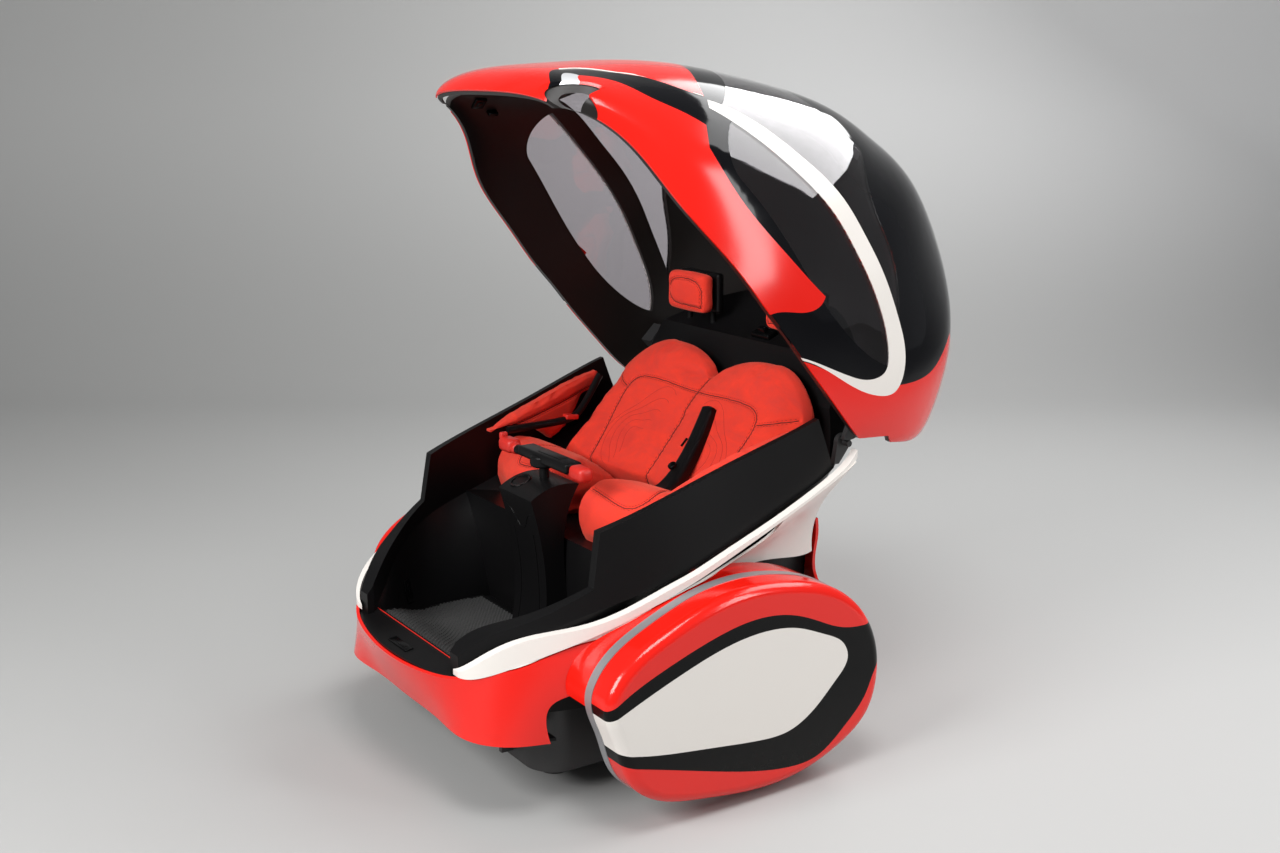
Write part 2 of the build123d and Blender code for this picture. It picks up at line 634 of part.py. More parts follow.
# control yoke: a bar with two grips that turns on an upright column between the riders
YOKE_Y = -300.0
YOKE_Z = 828.0
YOKE_HALF_WIDTH = 232.0
YOKE_HUB_RADIUS = 40.0
YOKE_HUB_DEPTH = 34.0
YOKE_BAR_RADIUS = 14.0
GRIP_RADIUS = 17.0
GRIP_LENGTH = 82.0
COLUMN_RADIUS = 14.0
COLUMN_CLEARANCE = 0.05
yoke_place = Pos(0, YOKE_Y, YOKE_Z)
grip_inner_x = YOKE_HALF_WIDTH - GRIP_LENGTH
yoke_hub = fillet(Cylinder(YOKE_HUB_RADIUS, YOKE_HUB_DEPTH).edges(), 8)
yoke_bar = Rot(0, 90, 0) * Cylinder(YOKE_BAR_RADIUS, 2 * (YOKE_HALF_WIDTH - 20))
column_hole = Cylinder(COLUMN_RADIUS + COLUMN_CLEARANCE, 2 * YOKE_HUB_DEPTH)
yoke_body = (yoke_hub + yoke_bar) - column_hole
grip = fillet((Rot(0, 90, 0) * Cylinder(GRIP_RADIUS, GRIP_LENGTH)).edges(), 7)
grip = grip - Rot(0, 90, 0) * Cylinder(YOKE_BAR_RADIUS, 2 * (YOKE_HALF_WIDTH - 20))
grip_left = Pos(grip_inner_x + GRIP_LENGTH / 2, 0, 0) * grip
grip_left = grip_left - yoke_bar
yoke = {"yoke_body": yoke_place * yoke_body, "yoke_grips": both(yoke_place * grip_left)}
column = yoke_place * Pos(0, 0, -60) * Cylinder(COLUMN_RADIUS, 120 + YOKE_HUB_DEPTH)
body["centre_console"] = console + column

# side bolsters: padded trim on the tub's walls, above the cushions
bolster_outline = region(
    [(-262, 806), (-190, 842), (200, 972)],
    [(200, 972), (214, 930), (150, 868)],
    [(150, 868), (40, 742), (10, 728)],
    [(10, 728), (-60, 772), (-200, 812), (-262, 806)],
)
BOLSTER_DEPTH = 52.0
bolsters = (bar(SIDE, bolster_outline, -REACH, REACH) & tub_room) - tub_form(TUB_WALL + BOLSTER_DEPTH, 5)
body["side_bolsters"] = pair(bolsters - body["seat_back"] - body["seat_cushions"])

# bulkhead behind the seats, closing the gap under the canopy's tail
bulkhead_side = side_profile(
    [(360, 826), (404, 826)],
    [(404, 826), (440, 980), (486, 1080), (588, 1216)],
    [(588, 1216), (572, 1226)],
    [(572, 1226), (462, 1146), (396, 1116)],
    [(396, 1116), (394, 1076), (360, 980)],
    [(360, 980), (360, 826)],
)
bulkhead_front = bar(Plane.XZ, region(
    [(-462, 780), (-468, 960), (-420, 1096), (-250, 1206), (0, 1240), (250, 1206), (420, 1096),
     (468, 960), (462, 780)],
    [(462, 780), (-462, 780)],
), -REACH, REACH)
body["rear_bulkhead"] = (bulkhead_side & bulkhead_front) - body["seat_back"]

# headrests on their shells, carried by posts from the bulkhead
HEADREST_X = 250.0
HEADREST_Y = 392.0
HEADREST_Z = 1227.0
HEADREST_WIDTH = 216.0
HEADREST_HEIGHT = 136.0
HEADREST_DEPTH = 62.0
HEADREST_ROUND = 26.0
SHELL_DEPTH = 26.0
SHELL_ROUND = 10.0
SHELL_MARGIN = 5.0
POST_RADIUS = 9.0
POST_X = 62.0
POST_BOTTOM_Z = 1120.0


def pillow(width, height, depth, rounding):
    """A block standing across the vehicle with its edges rounded."""
    form = Box(width, depth, height)
    return fillet(form.edges(), rounding)


headrest = Pos(HEADREST_X, HEADREST_Y, HEADREST_Z) * pillow(
    HEADREST_WIDTH, HEADREST_HEIGHT, HEADREST_DEPTH, HEADREST_ROUND)
shell_y = HEADREST_Y + HEADREST_DEPTH / 2 + SEAT_GAP + SHELL_DEPTH / 2
shell = Pos(HEADREST_X, shell_y, HEADREST_Z) * pillow(
    HEADREST_WIDTH - 2 * SHELL_MARGIN, HEADREST_HEIGHT - 2 * SHELL_MARGIN, SHELL_DEPTH, SHELL_ROUND)
for side in (-1, 1):
    shell = shell + Pos(HEADREST_X + side * POST_X, shell_y, (POST_BOTTOM_Z + HEADREST_Z) / 2) * Cylinder(
        POST_RADIUS, HEADREST_Z - POST_BOTTOM_Z)
body["headrests"] = both(headrest)
body["headrest_shells"] = both(largest(shell - body["rear_bulkhead"]))

# belt guide that lies up the inner side of the left seat
BELT_LINE = ((246, -104, 735), (206, -10, 748), (160, 110, 836), (122, 196, 934))
BELT_WIDTHS = (84, 62, 50, 44)
BELT_THICKNESS = 44.0
belt_curve = Spline(*BELT_LINE)
belt_faces = []
for place, width in zip(BELT_LINE, BELT_WIDTHS):
    tangent = belt_curve.tangent_at(belt_curve.param_at_point(place))
    belt_faces.append(Plane(origin=place, x_dir=(1, 0, 0), z_dir=tangent).location * RectangleRounded(
        width, BELT_THICKNESS, BELT_THICKNESS * 0.35).face())
belt_guide = loft(belt_faces) - body["seat_back"] - body["seat_cushions"]
body["belt_guide"] = largest(belt_guide)

# hinge brackets on the tub's rear wall; each carries the pin of one hinge arm
bracket_x = (HINGE_ARM_X - HINGE_SIDE_GAP - HINGE_ARM_THICKNESS, HINGE_ARM_X - HINGE_SIDE_GAP)
bracket = bar(SIDE, region(
    [(358, HINGE_EDGE_Z), (376, HINGE_EDGE_Z)],
    [(376, HINGE_EDGE_Z), (410, 868)],
    [(410, 868), (370, 898)],
    [(370, 898), (358, HINGE_EDGE_Z)],
), *bracket_x) + rod(*bracket_x, HINGE.Y, HINGE.Z, HINGE_EYE_RADIUS)
bracket = bracket + rod(bracket_x[0], arm_x[1] + 2, HINGE.Y, HINGE.Z, HINGE_PIN_RADIUS)
body["hinge_brackets"] = both(bracket)

# ---------------------------------------------------------------- chassis
chassis_plan = Pos(0, (CHASSIS_FRONT_Y + CHASSIS_REAR_Y) / 2) * Rectangle(
    2 * CHASSIS_HALF_WIDTH, CHASSIS_REAR_Y - CHASSIS_FRONT_Y)
chassis_plan = fillet(chassis_plan.vertices(), 90)
chassis = extrude(Pos(0, 0, CHASSIS_BOTTOM_Z) * chassis_plan, CHASSIS_TOP_Z - CHASSIS_BOTTOM_Z)
chassis = chassis - extrude(Pos(0, 0, CHASSIS_BOTTOM_Z + CHASSIS_WALL) * offset(
    chassis_plan, -CHASSIS_WALL), CHASSIS_TOP_Z)
foot_places = [(side * FOOT_STEM_X, y) for side in (-1, 1) for y in (FOOT_FRONT_Y, FOOT_REAR_Y)]
for x, y in foot_places:
    guide = Pos(x, y, (CHASSIS_BOTTOM_Z + GUIDE_TOP_Z) / 2) * Cylinder(
        FOOT_STEM_RADIUS + CHASSIS_WALL, GUIDE_TOP_Z - CHASSIS_BOTTOM_Z)
    hole = Pos(x, y, GUIDE_TOP_Z / 2) * Cylinder(FOOT_STEM_RADIUS + FOOT_STEM_CLEARANCE, 2 * GUIDE_TOP_Z)
    chassis = chassis + guide - hole
# tie-down lugs at both ends, each with a bore across the vehicle
LUG_X = 250.0
LUG_THICKNESS = 16.0
LUG_LENGTH = 36.0
LUG_BORE_RADIUS = 12.5
LUG_Z = (104.0, 156.0)
for side in (-1, 1):
    for end_y, direction in ((CHASSIS_FRONT_Y, -1), (CHASSIS_REAR_Y, 1)):
        tip_y = end_y + direction * LUG_LENGTH
        x0 = side * LUG_X - LUG_THICKNESS / 2
        lug = block(x0, x0 + LUG_THICKNESS, min(end_y, tip_y), max(end_y, tip_y), *LUG_Z)
        bore_y = end_y + direction * LUG_LENGTH / 2
        chassis = chassis + lug - rod(x0 - 1, x0 + LUG_THICKNESS + 1, bore_y, sum(LUG_Z) / 2,
                                      LUG_BORE_RADIUS)
body["chassis_tray"] = chassis
battery_y = (FOOT_FRONT_Y + 70, FOOT_REAR_Y - 70)
battery_x = CHASSIS_HALF_WIDTH - CHASSIS_WALL - BATTERY_GAP
body["battery_pack"] = block(-battery_x, battery_x, *battery_y,
                             CHASSIS_BOTTOM_Z + CHASSIS_WALL, CHASSIS_TOP_Z - BATTERY_GAP)

# parking feet, lowered
foot_plan = RectangleRounded(2 * FOOT_HALF_WIDTH, FOOT_DEPTH, FOOT_ROUND)
feet = {}
for end, y in (("front", FOOT_FRONT_Y), ("rear", FOOT_REAR_Y)):
    pad = Pos(0, y, 0) * extrude(foot_plan, FOOT_PAD)
    foot = Pos(0, y, FOOT_PAD) * extrude(foot_plan, FOOT_PLATE)
    stem_bottom = FOOT_PAD + FOOT_PLATE
    for side in (-1, 1):
        foot = foot + Pos(side * FOOT_STEM_X, y, (stem_bottom + STEM_TOP_Z) / 2) * Cylinder(
            FOOT_STEM_RADIUS, STEM_TOP_Z - stem_bottom)
    feet[f"parking_pad_{end}"] = pad
    feet[f"parking_foot_{end}"] = foot

# ---------------------------------------------------------------- wheels and knuckles
hub_inner_x = WHEEL_CENTRE_X - HUB_LENGTH / 2
hub_outer_x = WHEEL_CENTRE_X + HUB_LENGTH / 2
bead_radius = WHEEL_RADIUS - TYRE_HEIGHT
half_tyre = TYRE_WIDTH / 2


def turned(profile):
    """A solid turned about the axle from a profile of places across and radii."""
    flat = Pos(WHEEL_CENTRE_X, 0, WHEEL_RADIUS) * Plane.XZ.location * profile
    return revolve(flat, Axis((0, 0, WHEEL_RADIUS), (1, 0, 0)), 360)


tyre_half = [
    (half_tyre - 4, bead_radius), (half_tyre, bead_radius + 18), (half_tyre, WHEEL_RADIUS - TYRE_SHOULDER),
    (half_tyre - 0.3 * TYRE_SHOULDER, WHEEL_RADIUS - 0.3 * TYRE_SHOULDER),
    (half_tyre - TYRE_SHOULDER, WHEEL_RADIUS),
]
tyre_profile = Face(Polyline(
    *tyre_half, *[(-x, z) for x, z in reversed(tyre_half)], close=True).wire())
tyre_left = turned(tyre_profile)
barrel_half = half_tyre - 2
rim_left = turned(Pos(0, bead_radius - RIM_WALL / 2) * Rectangle(2 * barrel_half, RIM_WALL))
rim_left = rim_left + rod(hub_inner_x, hub_outer_x, 0, WHEEL_RADIUS, HUB_RADIUS)
spoke_length = bead_radius - RIM_WALL / 2 - HUB_RADIUS / 2
spoke = Pos(0, 0, HUB_RADIUS / 2 + spoke_length / 2) * Box(SPOKE_THICKNESS, SPOKE_WIDTH, spoke_length)
for turn in range(RIM_SPOKES):
    rim_left = rim_left + Pos(WHEEL_CENTRE_X, 0, WHEEL_RADIUS) * Rot(360 / RIM_SPOKES * turn, 0, 0) * spoke
rim_left = rim_left - rod(0, REACH, 0, WHEEL_RADIUS, AXLE_RADIUS + AXLE_CLEARANCE)
wheels = {
    "tyre_left": tyre_left,
    "tyre_right": mirror(tyre_left, Plane.YZ),
    "wheel_rim_left": rim_left,
    "wheel_rim_right": mirror(rim_left, Plane.YZ),
}

KNUCKLE_PLATE_X = (446.0, 470.0)
NUT_GAP = 0.5
knuckle = block(*KNUCKLE_PLATE_X, -95, 95, 120, WHEEL_RADIUS + 60)
knuckle = fillet(knuckle.edges().filter_by(Axis.X), 30)
knuckle = knuckle + block(CHASSIS_HALF_WIDTH, KNUCKLE_PLATE_X[0], -80, 80, 130, CHASSIS_TOP_Z - 12)
knuckle = knuckle + rod(KNUCKLE_PLATE_X[1], hub_inner_x - KNUCKLE_GAP, 0, WHEEL_RADIUS, KNUCKLE_RADIUS)
knuckle = knuckle + rod(KNUCKLE_PLATE_X[1], hub_outer_x + AXLE_NUT_LENGTH, 0, WHEEL_RADIUS, AXLE_RADIUS)
knuckle = knuckle + rod(hub_outer_x + NUT_GAP, hub_outer_x + AXLE_NUT_LENGTH, 0, WHEEL_RADIUS,
                        AXLE_NUT_RADIUS)
body["knuckles"] = both(knuckle)

# ---------------------------------------------------------------- pods and fenders
POD_OUTLINE = ((-534, 400), (-490, 466), (-363, 541), (-206, 596), (-76, 610), (59, 595), (183, 556),
               (290, 478), (352, 370), (362, 260), (326, 156), (229, 84), (87, 36), (-53, 27),
               (-253, 52), (-395, 92), (-462, 150), (-512, 280))
pod_curve = Spline(*POD_OUTLINE, periodic=True)
POD_STEPS = 36


def pod_block(inset, x0, x1):
    """A prism on the pod's outline, drawn in by a wall."""
    points = []
    for step in range(POD_STEPS):
        place = pod_curve.position_at(step / POD_STEPS)
        run = pod_curve.tangent_at(step / POD_STEPS)
        points.append((place.X + run.Y * inset, place.Y - run.X * inset))
    curve = Spline(*points, periodic=True)
    return bar(SIDE, Face(Wire([curve.trim(0, 0.5), curve.trim(0.5, 1)])), x0, x1)


def rounded_outside(form, radius):
    """A pod form with the edge of its outer face rounded."""
    return fillet(form.faces().sort_by(Axis.X)[-1].edges(), radius)


pod_layer = rounded_outside(pod_block(0, POD_INNER_X, POD_OUTER_X), POD_ROUND) - rounded_outside(
    pod_block(POD_WALL, POD_INNER_X, POD_OUTER_X - POD_WALL), POD_ROUND - POD_WALL)
pod_top = side_profile(
    [(-640, 330), (-543, 368), (-493, 398), (-387, 445), (-241, 494), (-90, 523), (29, 512), (120, 478),
     (196, 444), (260, 430), (330, 430), (420, 440)],
    [(420, 440), (420, 800)],
    [(420, 800), (-640, 800)],
    [(-640, 800), (-640, 330)],
)
pod_bottom = side_profile(
    [(-640, 255), (-509, 218), (-312, 160), (-80, 94), (42, 74), (134, 81), (234, 146), (309, 226),
     (330, 272), (420, 340)],
    [(420, 340), (420, -60)],
    [(420, -60), (-640, -60)],
    [(-640, -60), (-640, 255)],
)
pod_panel = side_profile(
    [(-640, 312), (-540, 341), (-479, 366), (-315, 428), (-166, 471), (-42, 483), (54, 470), (155, 430),
     (224, 385), (236, 347), (194, 288), (128, 228), (39, 182), (-66, 179), (-238, 201), (-422, 229),
     (-516, 252), (-640, 285)],
    [(-640, 285), (-640, 312)],
)
body["pod_shells"] = both((pod_layer & pod_top) + (pod_layer & pod_bottom))
body["pod_panels"] = both(pod_layer & pod_panel)
body["pod_bezels"] = both(pod_layer - pod_top - pod_bottom - pod_panel)
# bright strip between pod and fender, from the foot of the front edge over the top
trim_keep = side_profile(
    [(-700, 96), (-300, 96)],
    [(-300, 96), (240, 300)],
    [(240, 300), (240, 800)],
    [(240, 800), (-700, 800)],
    [(-700, 800), (-700, 96)],
)
trim = pod_block(-POD_TRIM_PROUD, FENDER_OUTER_X, POD_INNER_X) - pod_block(
    POD_TRIM_DEPTH, FENDER_OUTER_X, POD_INNER_X)
body["pod_trims"] = both(trim & trim_keep)

fender_keep = side_profile(
    [(-700, 350), (-200, 350)],
    [(-200, 350), (200, 150)],
    [(200, 150), (450, 150)],
    [(450, 150), (450, 800)],
    [(450, 800), (-700, 800)],
    [(-700, 800), (-700, 350)],
)
fender = pod_block(0, FENDER_INNER_X, FENDER_OUTER_X) - pod_block(
    FENDER_WALL, FENDER_INNER_X, FENDER_OUTER_X)
behind_trim = fender & fender_keep
behind_trim = behind_trim + (pod_block(0, FENDER_OUTER_X, POD_INNER_X) - pod_block(
    FENDER_WALL, FENDER_OUTER_X, POD_INNER_X) - trim_keep & fender_keep)
fender = behind_trim - nose_outer - haunch_fill
body["fenders"] = both(largest(fender))

# ---------------------------------------------------------------- rear apron
APRON_WALL = 10.0
APRON = (
    (640, ((0, 386), (300, 386), (400, 386))),
    (545, ((0, 387), (300, 387), (396, 386))),
    (451, ((0, 408), (300, 405), (400, 394))),
    (390, ((0, 440), (310, 437), (440, 422))),
    (342, ((0, 462), (330, 459), (480, 444))),
    (290, ((0, 470), (340, 466), (492, 450))),
    (240, ((0, 462), (330, 458), (470, 442))),
)


def apron_strip(z, half):
    """One level of the rear apron: a bowed strip across the vehicle."""
    outer = [(-x, y) for x, y in reversed(half[1:])] + list(half)
    inner = [(x, y - APRON_WALL) for x, y in reversed(outer)]
    return Pos(0, 0, z) * region(outer, [outer[-1], inner[0]], inner, [inner[-1], outer[0]])


rear_apron = loft([apron_strip(z, half) for z, half in APRON]) - tub_form(0, 0)
body["rear_apron"] = largest(rear_apron)

# ---------------------------------------------------------------- write the pieces
for name, piece in canopy.items():
    export(name, opened(piece))
for name, piece in {**body, **yoke, **feet, **wheels}.items():
    export(name, piece)
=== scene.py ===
"""Looks of a two-seat electric mobility pod: finishes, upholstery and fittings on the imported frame."""
from __future__ import annotations

import json
import logging
import math
from dataclasses import dataclass, field
from enum import Enum
from typing import Callable, Iterable, Sequence

import bmesh
import bpy
from mathutils import Matrix, Vector
from mathutils.bvhtree import BVHTree
from mathutils.kdtree import KDTree

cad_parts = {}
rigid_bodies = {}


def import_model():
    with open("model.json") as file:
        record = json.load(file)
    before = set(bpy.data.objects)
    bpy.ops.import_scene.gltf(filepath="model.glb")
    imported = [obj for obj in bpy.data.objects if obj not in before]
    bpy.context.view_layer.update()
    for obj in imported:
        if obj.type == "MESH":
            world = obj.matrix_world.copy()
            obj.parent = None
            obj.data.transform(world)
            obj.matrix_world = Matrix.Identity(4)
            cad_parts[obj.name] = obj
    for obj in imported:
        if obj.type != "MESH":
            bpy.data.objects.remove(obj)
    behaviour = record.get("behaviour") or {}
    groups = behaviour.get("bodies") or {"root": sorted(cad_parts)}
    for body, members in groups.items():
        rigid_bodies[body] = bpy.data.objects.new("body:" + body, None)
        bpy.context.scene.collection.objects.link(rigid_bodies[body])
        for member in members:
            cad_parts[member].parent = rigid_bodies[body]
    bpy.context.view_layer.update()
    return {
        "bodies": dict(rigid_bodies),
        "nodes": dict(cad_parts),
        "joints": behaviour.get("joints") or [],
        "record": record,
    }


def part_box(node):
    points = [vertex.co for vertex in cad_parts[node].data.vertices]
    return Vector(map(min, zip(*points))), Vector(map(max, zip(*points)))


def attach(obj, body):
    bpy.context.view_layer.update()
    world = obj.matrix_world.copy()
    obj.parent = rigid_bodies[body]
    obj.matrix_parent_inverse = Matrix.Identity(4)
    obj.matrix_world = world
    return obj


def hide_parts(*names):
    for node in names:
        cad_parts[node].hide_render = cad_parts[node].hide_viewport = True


LOG = logging.getLogger("pod")
Colour = tuple[float, float, float]
Point = tuple[float, float, float]
Seam = list[tuple[Vector, Vector]]
Socket = bpy.types.NodeSocket
UP: Point = (0.0, 0.0, 1.0)
DOWN: Point = (0.0, 0.0, -1.0)
REARWARD: Point = (0.0, 1.0, 0.0)
SIDES = (-1.0, 1.0)
WELD = 1e-5
SEARCH_REACH = 1.0
FIRST_FRAME = 1


# ---------------------------------------------------------------- finishes
class Surface(Enum):
    """What kind of surface a finish has."""
    PAINT = "sprayed paint under clear lacquer"
    MOULDED = "moulded plastic with a fine grain"
    SUEDE = "brushed suede"
    RUBBER = "rubber"
    METAL = "cast or coated metal"
    GLAZING = "tinted glazing"


@dataclass(frozen=True)
class Finish:
    """One finish: its colour, its gloss and how strongly its texture shows."""
    name: str
    surface: Surface
    colour: Colour
    roughness: float
    texture_scale: float = 60.0
    texture_depth: float = 0.15
    metallic: float = 0.0
    coat: float = 0.0
    shade: Colour = (0.0, 0.0, 0.0)
    variation: float = 0.12
    specular: float = 0.5


RED_PAINT = Finish("red_paint", Surface.PAINT, (0.80, 0.012, 0.006), 0.16, 1.6, 0.02,
                   shade=(0.70, 0.009, 0.004))
WHITE_PAINT = Finish("white_paint", Surface.PAINT, (0.80, 0.76, 0.71), 0.24, 1.6, 0.02,
                     shade=(0.76, 0.72, 0.68))
ROOF_BLACK = Finish("black_gloss", Surface.PAINT, (0.002, 0.002, 0.003), 0.06, 1.3, 0.012,
                    shade=(0.004, 0.004, 0.005), specular=0.28)
TRIM_BLACK = Finish("black_trim", Surface.MOULDED, (0.0035, 0.0035, 0.004), 0.38, 900.0, 0.05,
                    shade=(0.006, 0.0055, 0.0055), specular=0.14)
LINER_BLACK = Finish("liner_black", Surface.MOULDED, (0.009, 0.0075, 0.007), 0.36, 700.0, 0.05,
                     shade=(0.015, 0.012, 0.011), specular=0.30)
SATIN_BLACK = Finish("satin_black", Surface.PAINT, (0.0015, 0.0015, 0.0018), 0.20, 2.0, 0.02,
                     shade=(0.003, 0.003, 0.003), specular=0.16)
SILVER_TRIM = Finish("silver_trim", Surface.METAL, (0.40, 0.40, 0.41), 0.38, 160.0, 0.02, metallic=0.55,
                     shade=(0.33, 0.33, 0.34))
LAMP_LENS = Finish("lamp_lens", Surface.PAINT, (0.70, 0.71, 0.73), 0.08, 8.0, 0.02, coat=1.0,
                   shade=(0.55, 0.56, 0.58))
SEAT_SUEDE = Finish("seat_cloth", Surface.SUEDE, (0.84, 0.042, 0.018), 0.90, 26.0, 0.22,
                    shade=(0.66, 0.026, 0.012), variation=0.4)
SEAM_THREAD = Finish("seam_thread", Surface.RUBBER, (0.26, 0.010, 0.006), 0.7, 200.0, 0.1,
                     shade=(0.20, 0.008, 0.005))
PIPING = Finish("seam_piping", Surface.RUBBER, (0.10, 0.004, 0.003), 0.7, 200.0, 0.1,
                shade=(0.07, 0.003, 0.002))
CONTOUR_THREAD = Finish("contour_thread", Surface.RUBBER, (0.50, 0.018, 0.010), 0.7, 200.0, 0.1,
                        shade=(0.40, 0.013, 0.008))
GRIP_RED = Finish("grip_red", Surface.MOULDED, (0.62, 0.020, 0.012), 0.45, 500.0, 0.04,
                  shade=(0.50, 0.014, 0.008))
MAT_RUBBER = Finish("mat_weave", Surface.RUBBER, (0.050, 0.050, 0.050), 0.45, 420.0, 0.12,
                    shade=(0.070, 0.069, 0.068))
# Near-black sheet between the mat's ribs: painted shade in the recesses, a darker copy of the ribs' rubber.
MAT_RECESS_SHADE = Finish("mat_recess_shade", Surface.RUBBER, (0.004, 0.004, 0.004), 0.75, 420.0, 0.12,
                    shade=(0.006, 0.006, 0.006), specular=0.10)
TYRE_BLACK = Finish("tyre_rubber", Surface.RUBBER, (0.018, 0.018, 0.019), 0.82, 120.0, 0.25,
                    shade=(0.035, 0.034, 0.033))
PAD_RUBBER = Finish("pad_rubber", Surface.RUBBER, (0.020, 0.020, 0.020), 0.85, 90.0, 0.3,
                    shade=(0.040, 0.038, 0.036))
BARE_ALLOY = Finish("bare_alloy", Surface.METAL, (0.52, 0.53, 0.55), 0.34, 220.0, 0.03, metallic=1.0,
                    shade=(0.40, 0.41, 0.43))
COATED_METAL = Finish("coated_metal", Surface.METAL, (0.020, 0.020, 0.022), 0.45, 260.0, 0.05,
                      shade=(0.032, 0.031, 0.030))
GLAZING = Finish("tinted_glass", Surface.GLAZING, (0.62, 0.58, 0.62), 0.02)
GLASS_IOR = 1.12
SHEEN_TINT = (1.0, 0.32, 0.22, 1.0)
DUST_COLOUR: Colour = (0.30, 0.28, 0.25)
DUST_SCALE, DUST_SHARE = 38.0, 0.05
GRAIN_DEPTH, NAP_DEPTH = 0.0006, 0.0012


class Sketch:
    """Adds and links the nodes of one node tree."""

    def __init__(self, tree: bpy.types.NodeTree) -> None:
        """Start from an empty tree.

        Args:
            tree: The node tree to fill.
        """
        self.tree = tree
        tree.nodes.clear()

    def add(self, kind: str, settings: dict | None = None, **inputs: object) -> bpy.types.Node:
        """Add a node.

        Args:
            kind: The node's class name without its ShaderNode prefix.
            settings: Properties of the node.
            **inputs: Values or output sockets for its inputs; an underscore stands for a space.

        Returns:
            The new node.
        """
        node = self.tree.nodes.new(kind if kind.startswith("Node") else "ShaderNode" + kind)
        for key, value in (settings or {}).items():
            setattr(node, key, value)
        for key, value in inputs.items():
            self._feed(node.inputs[key.replace("_", " ")], value)
        return node

    def _feed(self, socket: Socket, value: object) -> None:
        """Link a socket to an input or set its value; a plain colour gets its alpha."""
        if isinstance(value, Socket):
            self.tree.links.new(value, socket)
        elif socket.type == "RGBA":
            socket.default_value = (*value, 1.0)
        else:
            socket.default_value = value

    def join(self, first: Socket, last: Socket) -> None:
        """Link an output to an input."""
        self.tree.links.new(first, last)

    def math(self, operation: str, first: object, second: object = 0.0) -> Socket:
        """Add a Math node and return its result.

        Args:
            operation: The node's operation.
            first: Value or socket.
            second: Value or socket.

        Returns:
            The result socket.
        """
        node = self.add("Math", {"operation": operation})
        for socket, value in zip(node.inputs, (first, second)):
            self._feed(socket, value)
        return node.outputs[0]

    def noise(self, place: Socket, scale: object, **inputs: object) -> Socket:
        """Add a Noise Texture and return its value.

        Args:
            place: The coordinates.
            scale: Value or socket.
            **inputs: Its other inputs.

        Returns:
            The value's socket.
        """
        return self.add("TexNoise", Vector=place, Scale=scale, **inputs).outputs["Fac"]

    def mix(self, factor: object, first: object, second: object) -> Socket:
        """Mix two colours and return the result.

        Args:
            factor: Value or socket, 0 for the first colour.
            first: Colour or socket.
            second: Colour or socket.

        Returns:
            The result socket.
        """
        node = self.add("Mix", {"data_type": "RGBA"})
        for index, value in ((0, factor), (6, first), (7, second)):
            self._feed(node.inputs[index], value)
        return node.outputs[2]


Filler = Callable[[Sketch, Socket, Socket], tuple[Socket, Socket]]


class TextureGroups:
    """The shader node groups that the finishes share; each is built once."""

    def __init__(self) -> None:
        """Build every group."""
        self.film = self._group("Paint film", self._film)
        self.grain = self._group("Moulded grain", self._grain)
        self.nap = self._group("Suede nap", self._nap)
        self.dust = self._group("Settled dust", self._dust)

    @staticmethod
    def _group(name: str, fill: Filler) -> bpy.types.NodeTree:
        """Make a node group with a scale and two outputs.

        Args:
            name: The group's name.
            fill: Adds its nodes to a sketch, from the coordinates and the scale, and gives its shade
                and its height.

        Returns:
            The group.
        """
        tree = bpy.data.node_groups.new(name, "ShaderNodeTree")
        scale = tree.interface.new_socket("Scale", in_out="INPUT", socket_type="NodeSocketFloat")
        scale.default_value = 50.0
        for output in ("Shade", "Height"):
            tree.interface.new_socket(output, in_out="OUTPUT", socket_type="NodeSocketFloat")
        sketch = Sketch(tree)
        entry = sketch.add("NodeGroupInput")
        leave = sketch.add("NodeGroupOutput")
        shade, height = fill(sketch, sketch.add("TexCoord").outputs["Object"], entry.outputs["Scale"])
        sketch.join(shade, leave.inputs["Shade"])
        sketch.join(height, leave.inputs["Height"])
        return tree

    @staticmethod
    def _film(sketch: Sketch, place: Socket, scale: Socket) -> tuple[Socket, Socket]:
        """Slow unevenness of a sprayed film, with a very fine orange peel in its height."""
        slow = sketch.noise(place, scale, Detail=2.0)
        peel = sketch.noise(place, sketch.math("MULTIPLY", scale, 90.0))
        return slow, peel

    @staticmethod
    def _grain(sketch: Sketch, place: Socket, scale: Socket) -> tuple[Socket, Socket]:
        """Pebbled grain of a mould, with broad rubbed patches in its shade."""
        cells = sketch.add("TexVoronoi", {"feature": "SMOOTH_F1"}, Vector=place, Scale=scale)
        fine = sketch.noise(place, sketch.math("MULTIPLY", scale, 2.0))
        broad = sketch.noise(place, 3.5, Detail=5.0)
        return broad, sketch.math("ADD", cells.outputs["Distance"], sketch.math("MULTIPLY", fine, 0.4))

    @staticmethod
    def _nap(sketch: Sketch, place: Socket, scale: Socket) -> tuple[Socket, Socket]:
        """Brushed nap: soft stroked patches over short fibres."""
        turned = sketch.add("Mapping", Vector=place, Rotation=(0.5, 0.3, 0.6), Scale=(1.0, 3.2, 1.0))
        patches = sketch.noise(turned.outputs[0], 5.5, Detail=4.0, Roughness=0.62, Distortion=1.1)
        small = sketch.noise(place, scale, Detail=6.0, Roughness=0.7)
        fibres = sketch.noise(place, sketch.math("MULTIPLY", scale, 40.0))
        blend = sketch.math("ADD", sketch.math("MULTIPLY", patches, 0.65),
                            sketch.math("MULTIPLY", small, 0.35))
        ramp = sketch.add("ValToRGB", Fac=blend)
        for stop, position in zip(ramp.color_ramp.elements, (0.36, 0.64)):
            stop.position = position
        return ramp.outputs["Color"], fibres

    @staticmethod
    def _dust(sketch: Sketch, place: Socket, scale: Socket) -> tuple[Socket, Socket]:
        """Faint dust and scuffs for surfaces near the ground."""
        height = sketch.add("SeparateXYZ", Vector=place).outputs["Z"]
        low = sketch.add("MapRange", Value=height, From_Min=0.30, From_Max=0.0).outputs[0]
        noise = sketch.noise(place, scale, Detail=8.0, Roughness=0.65)
        return sketch.math("MULTIPLY", low, noise), noise


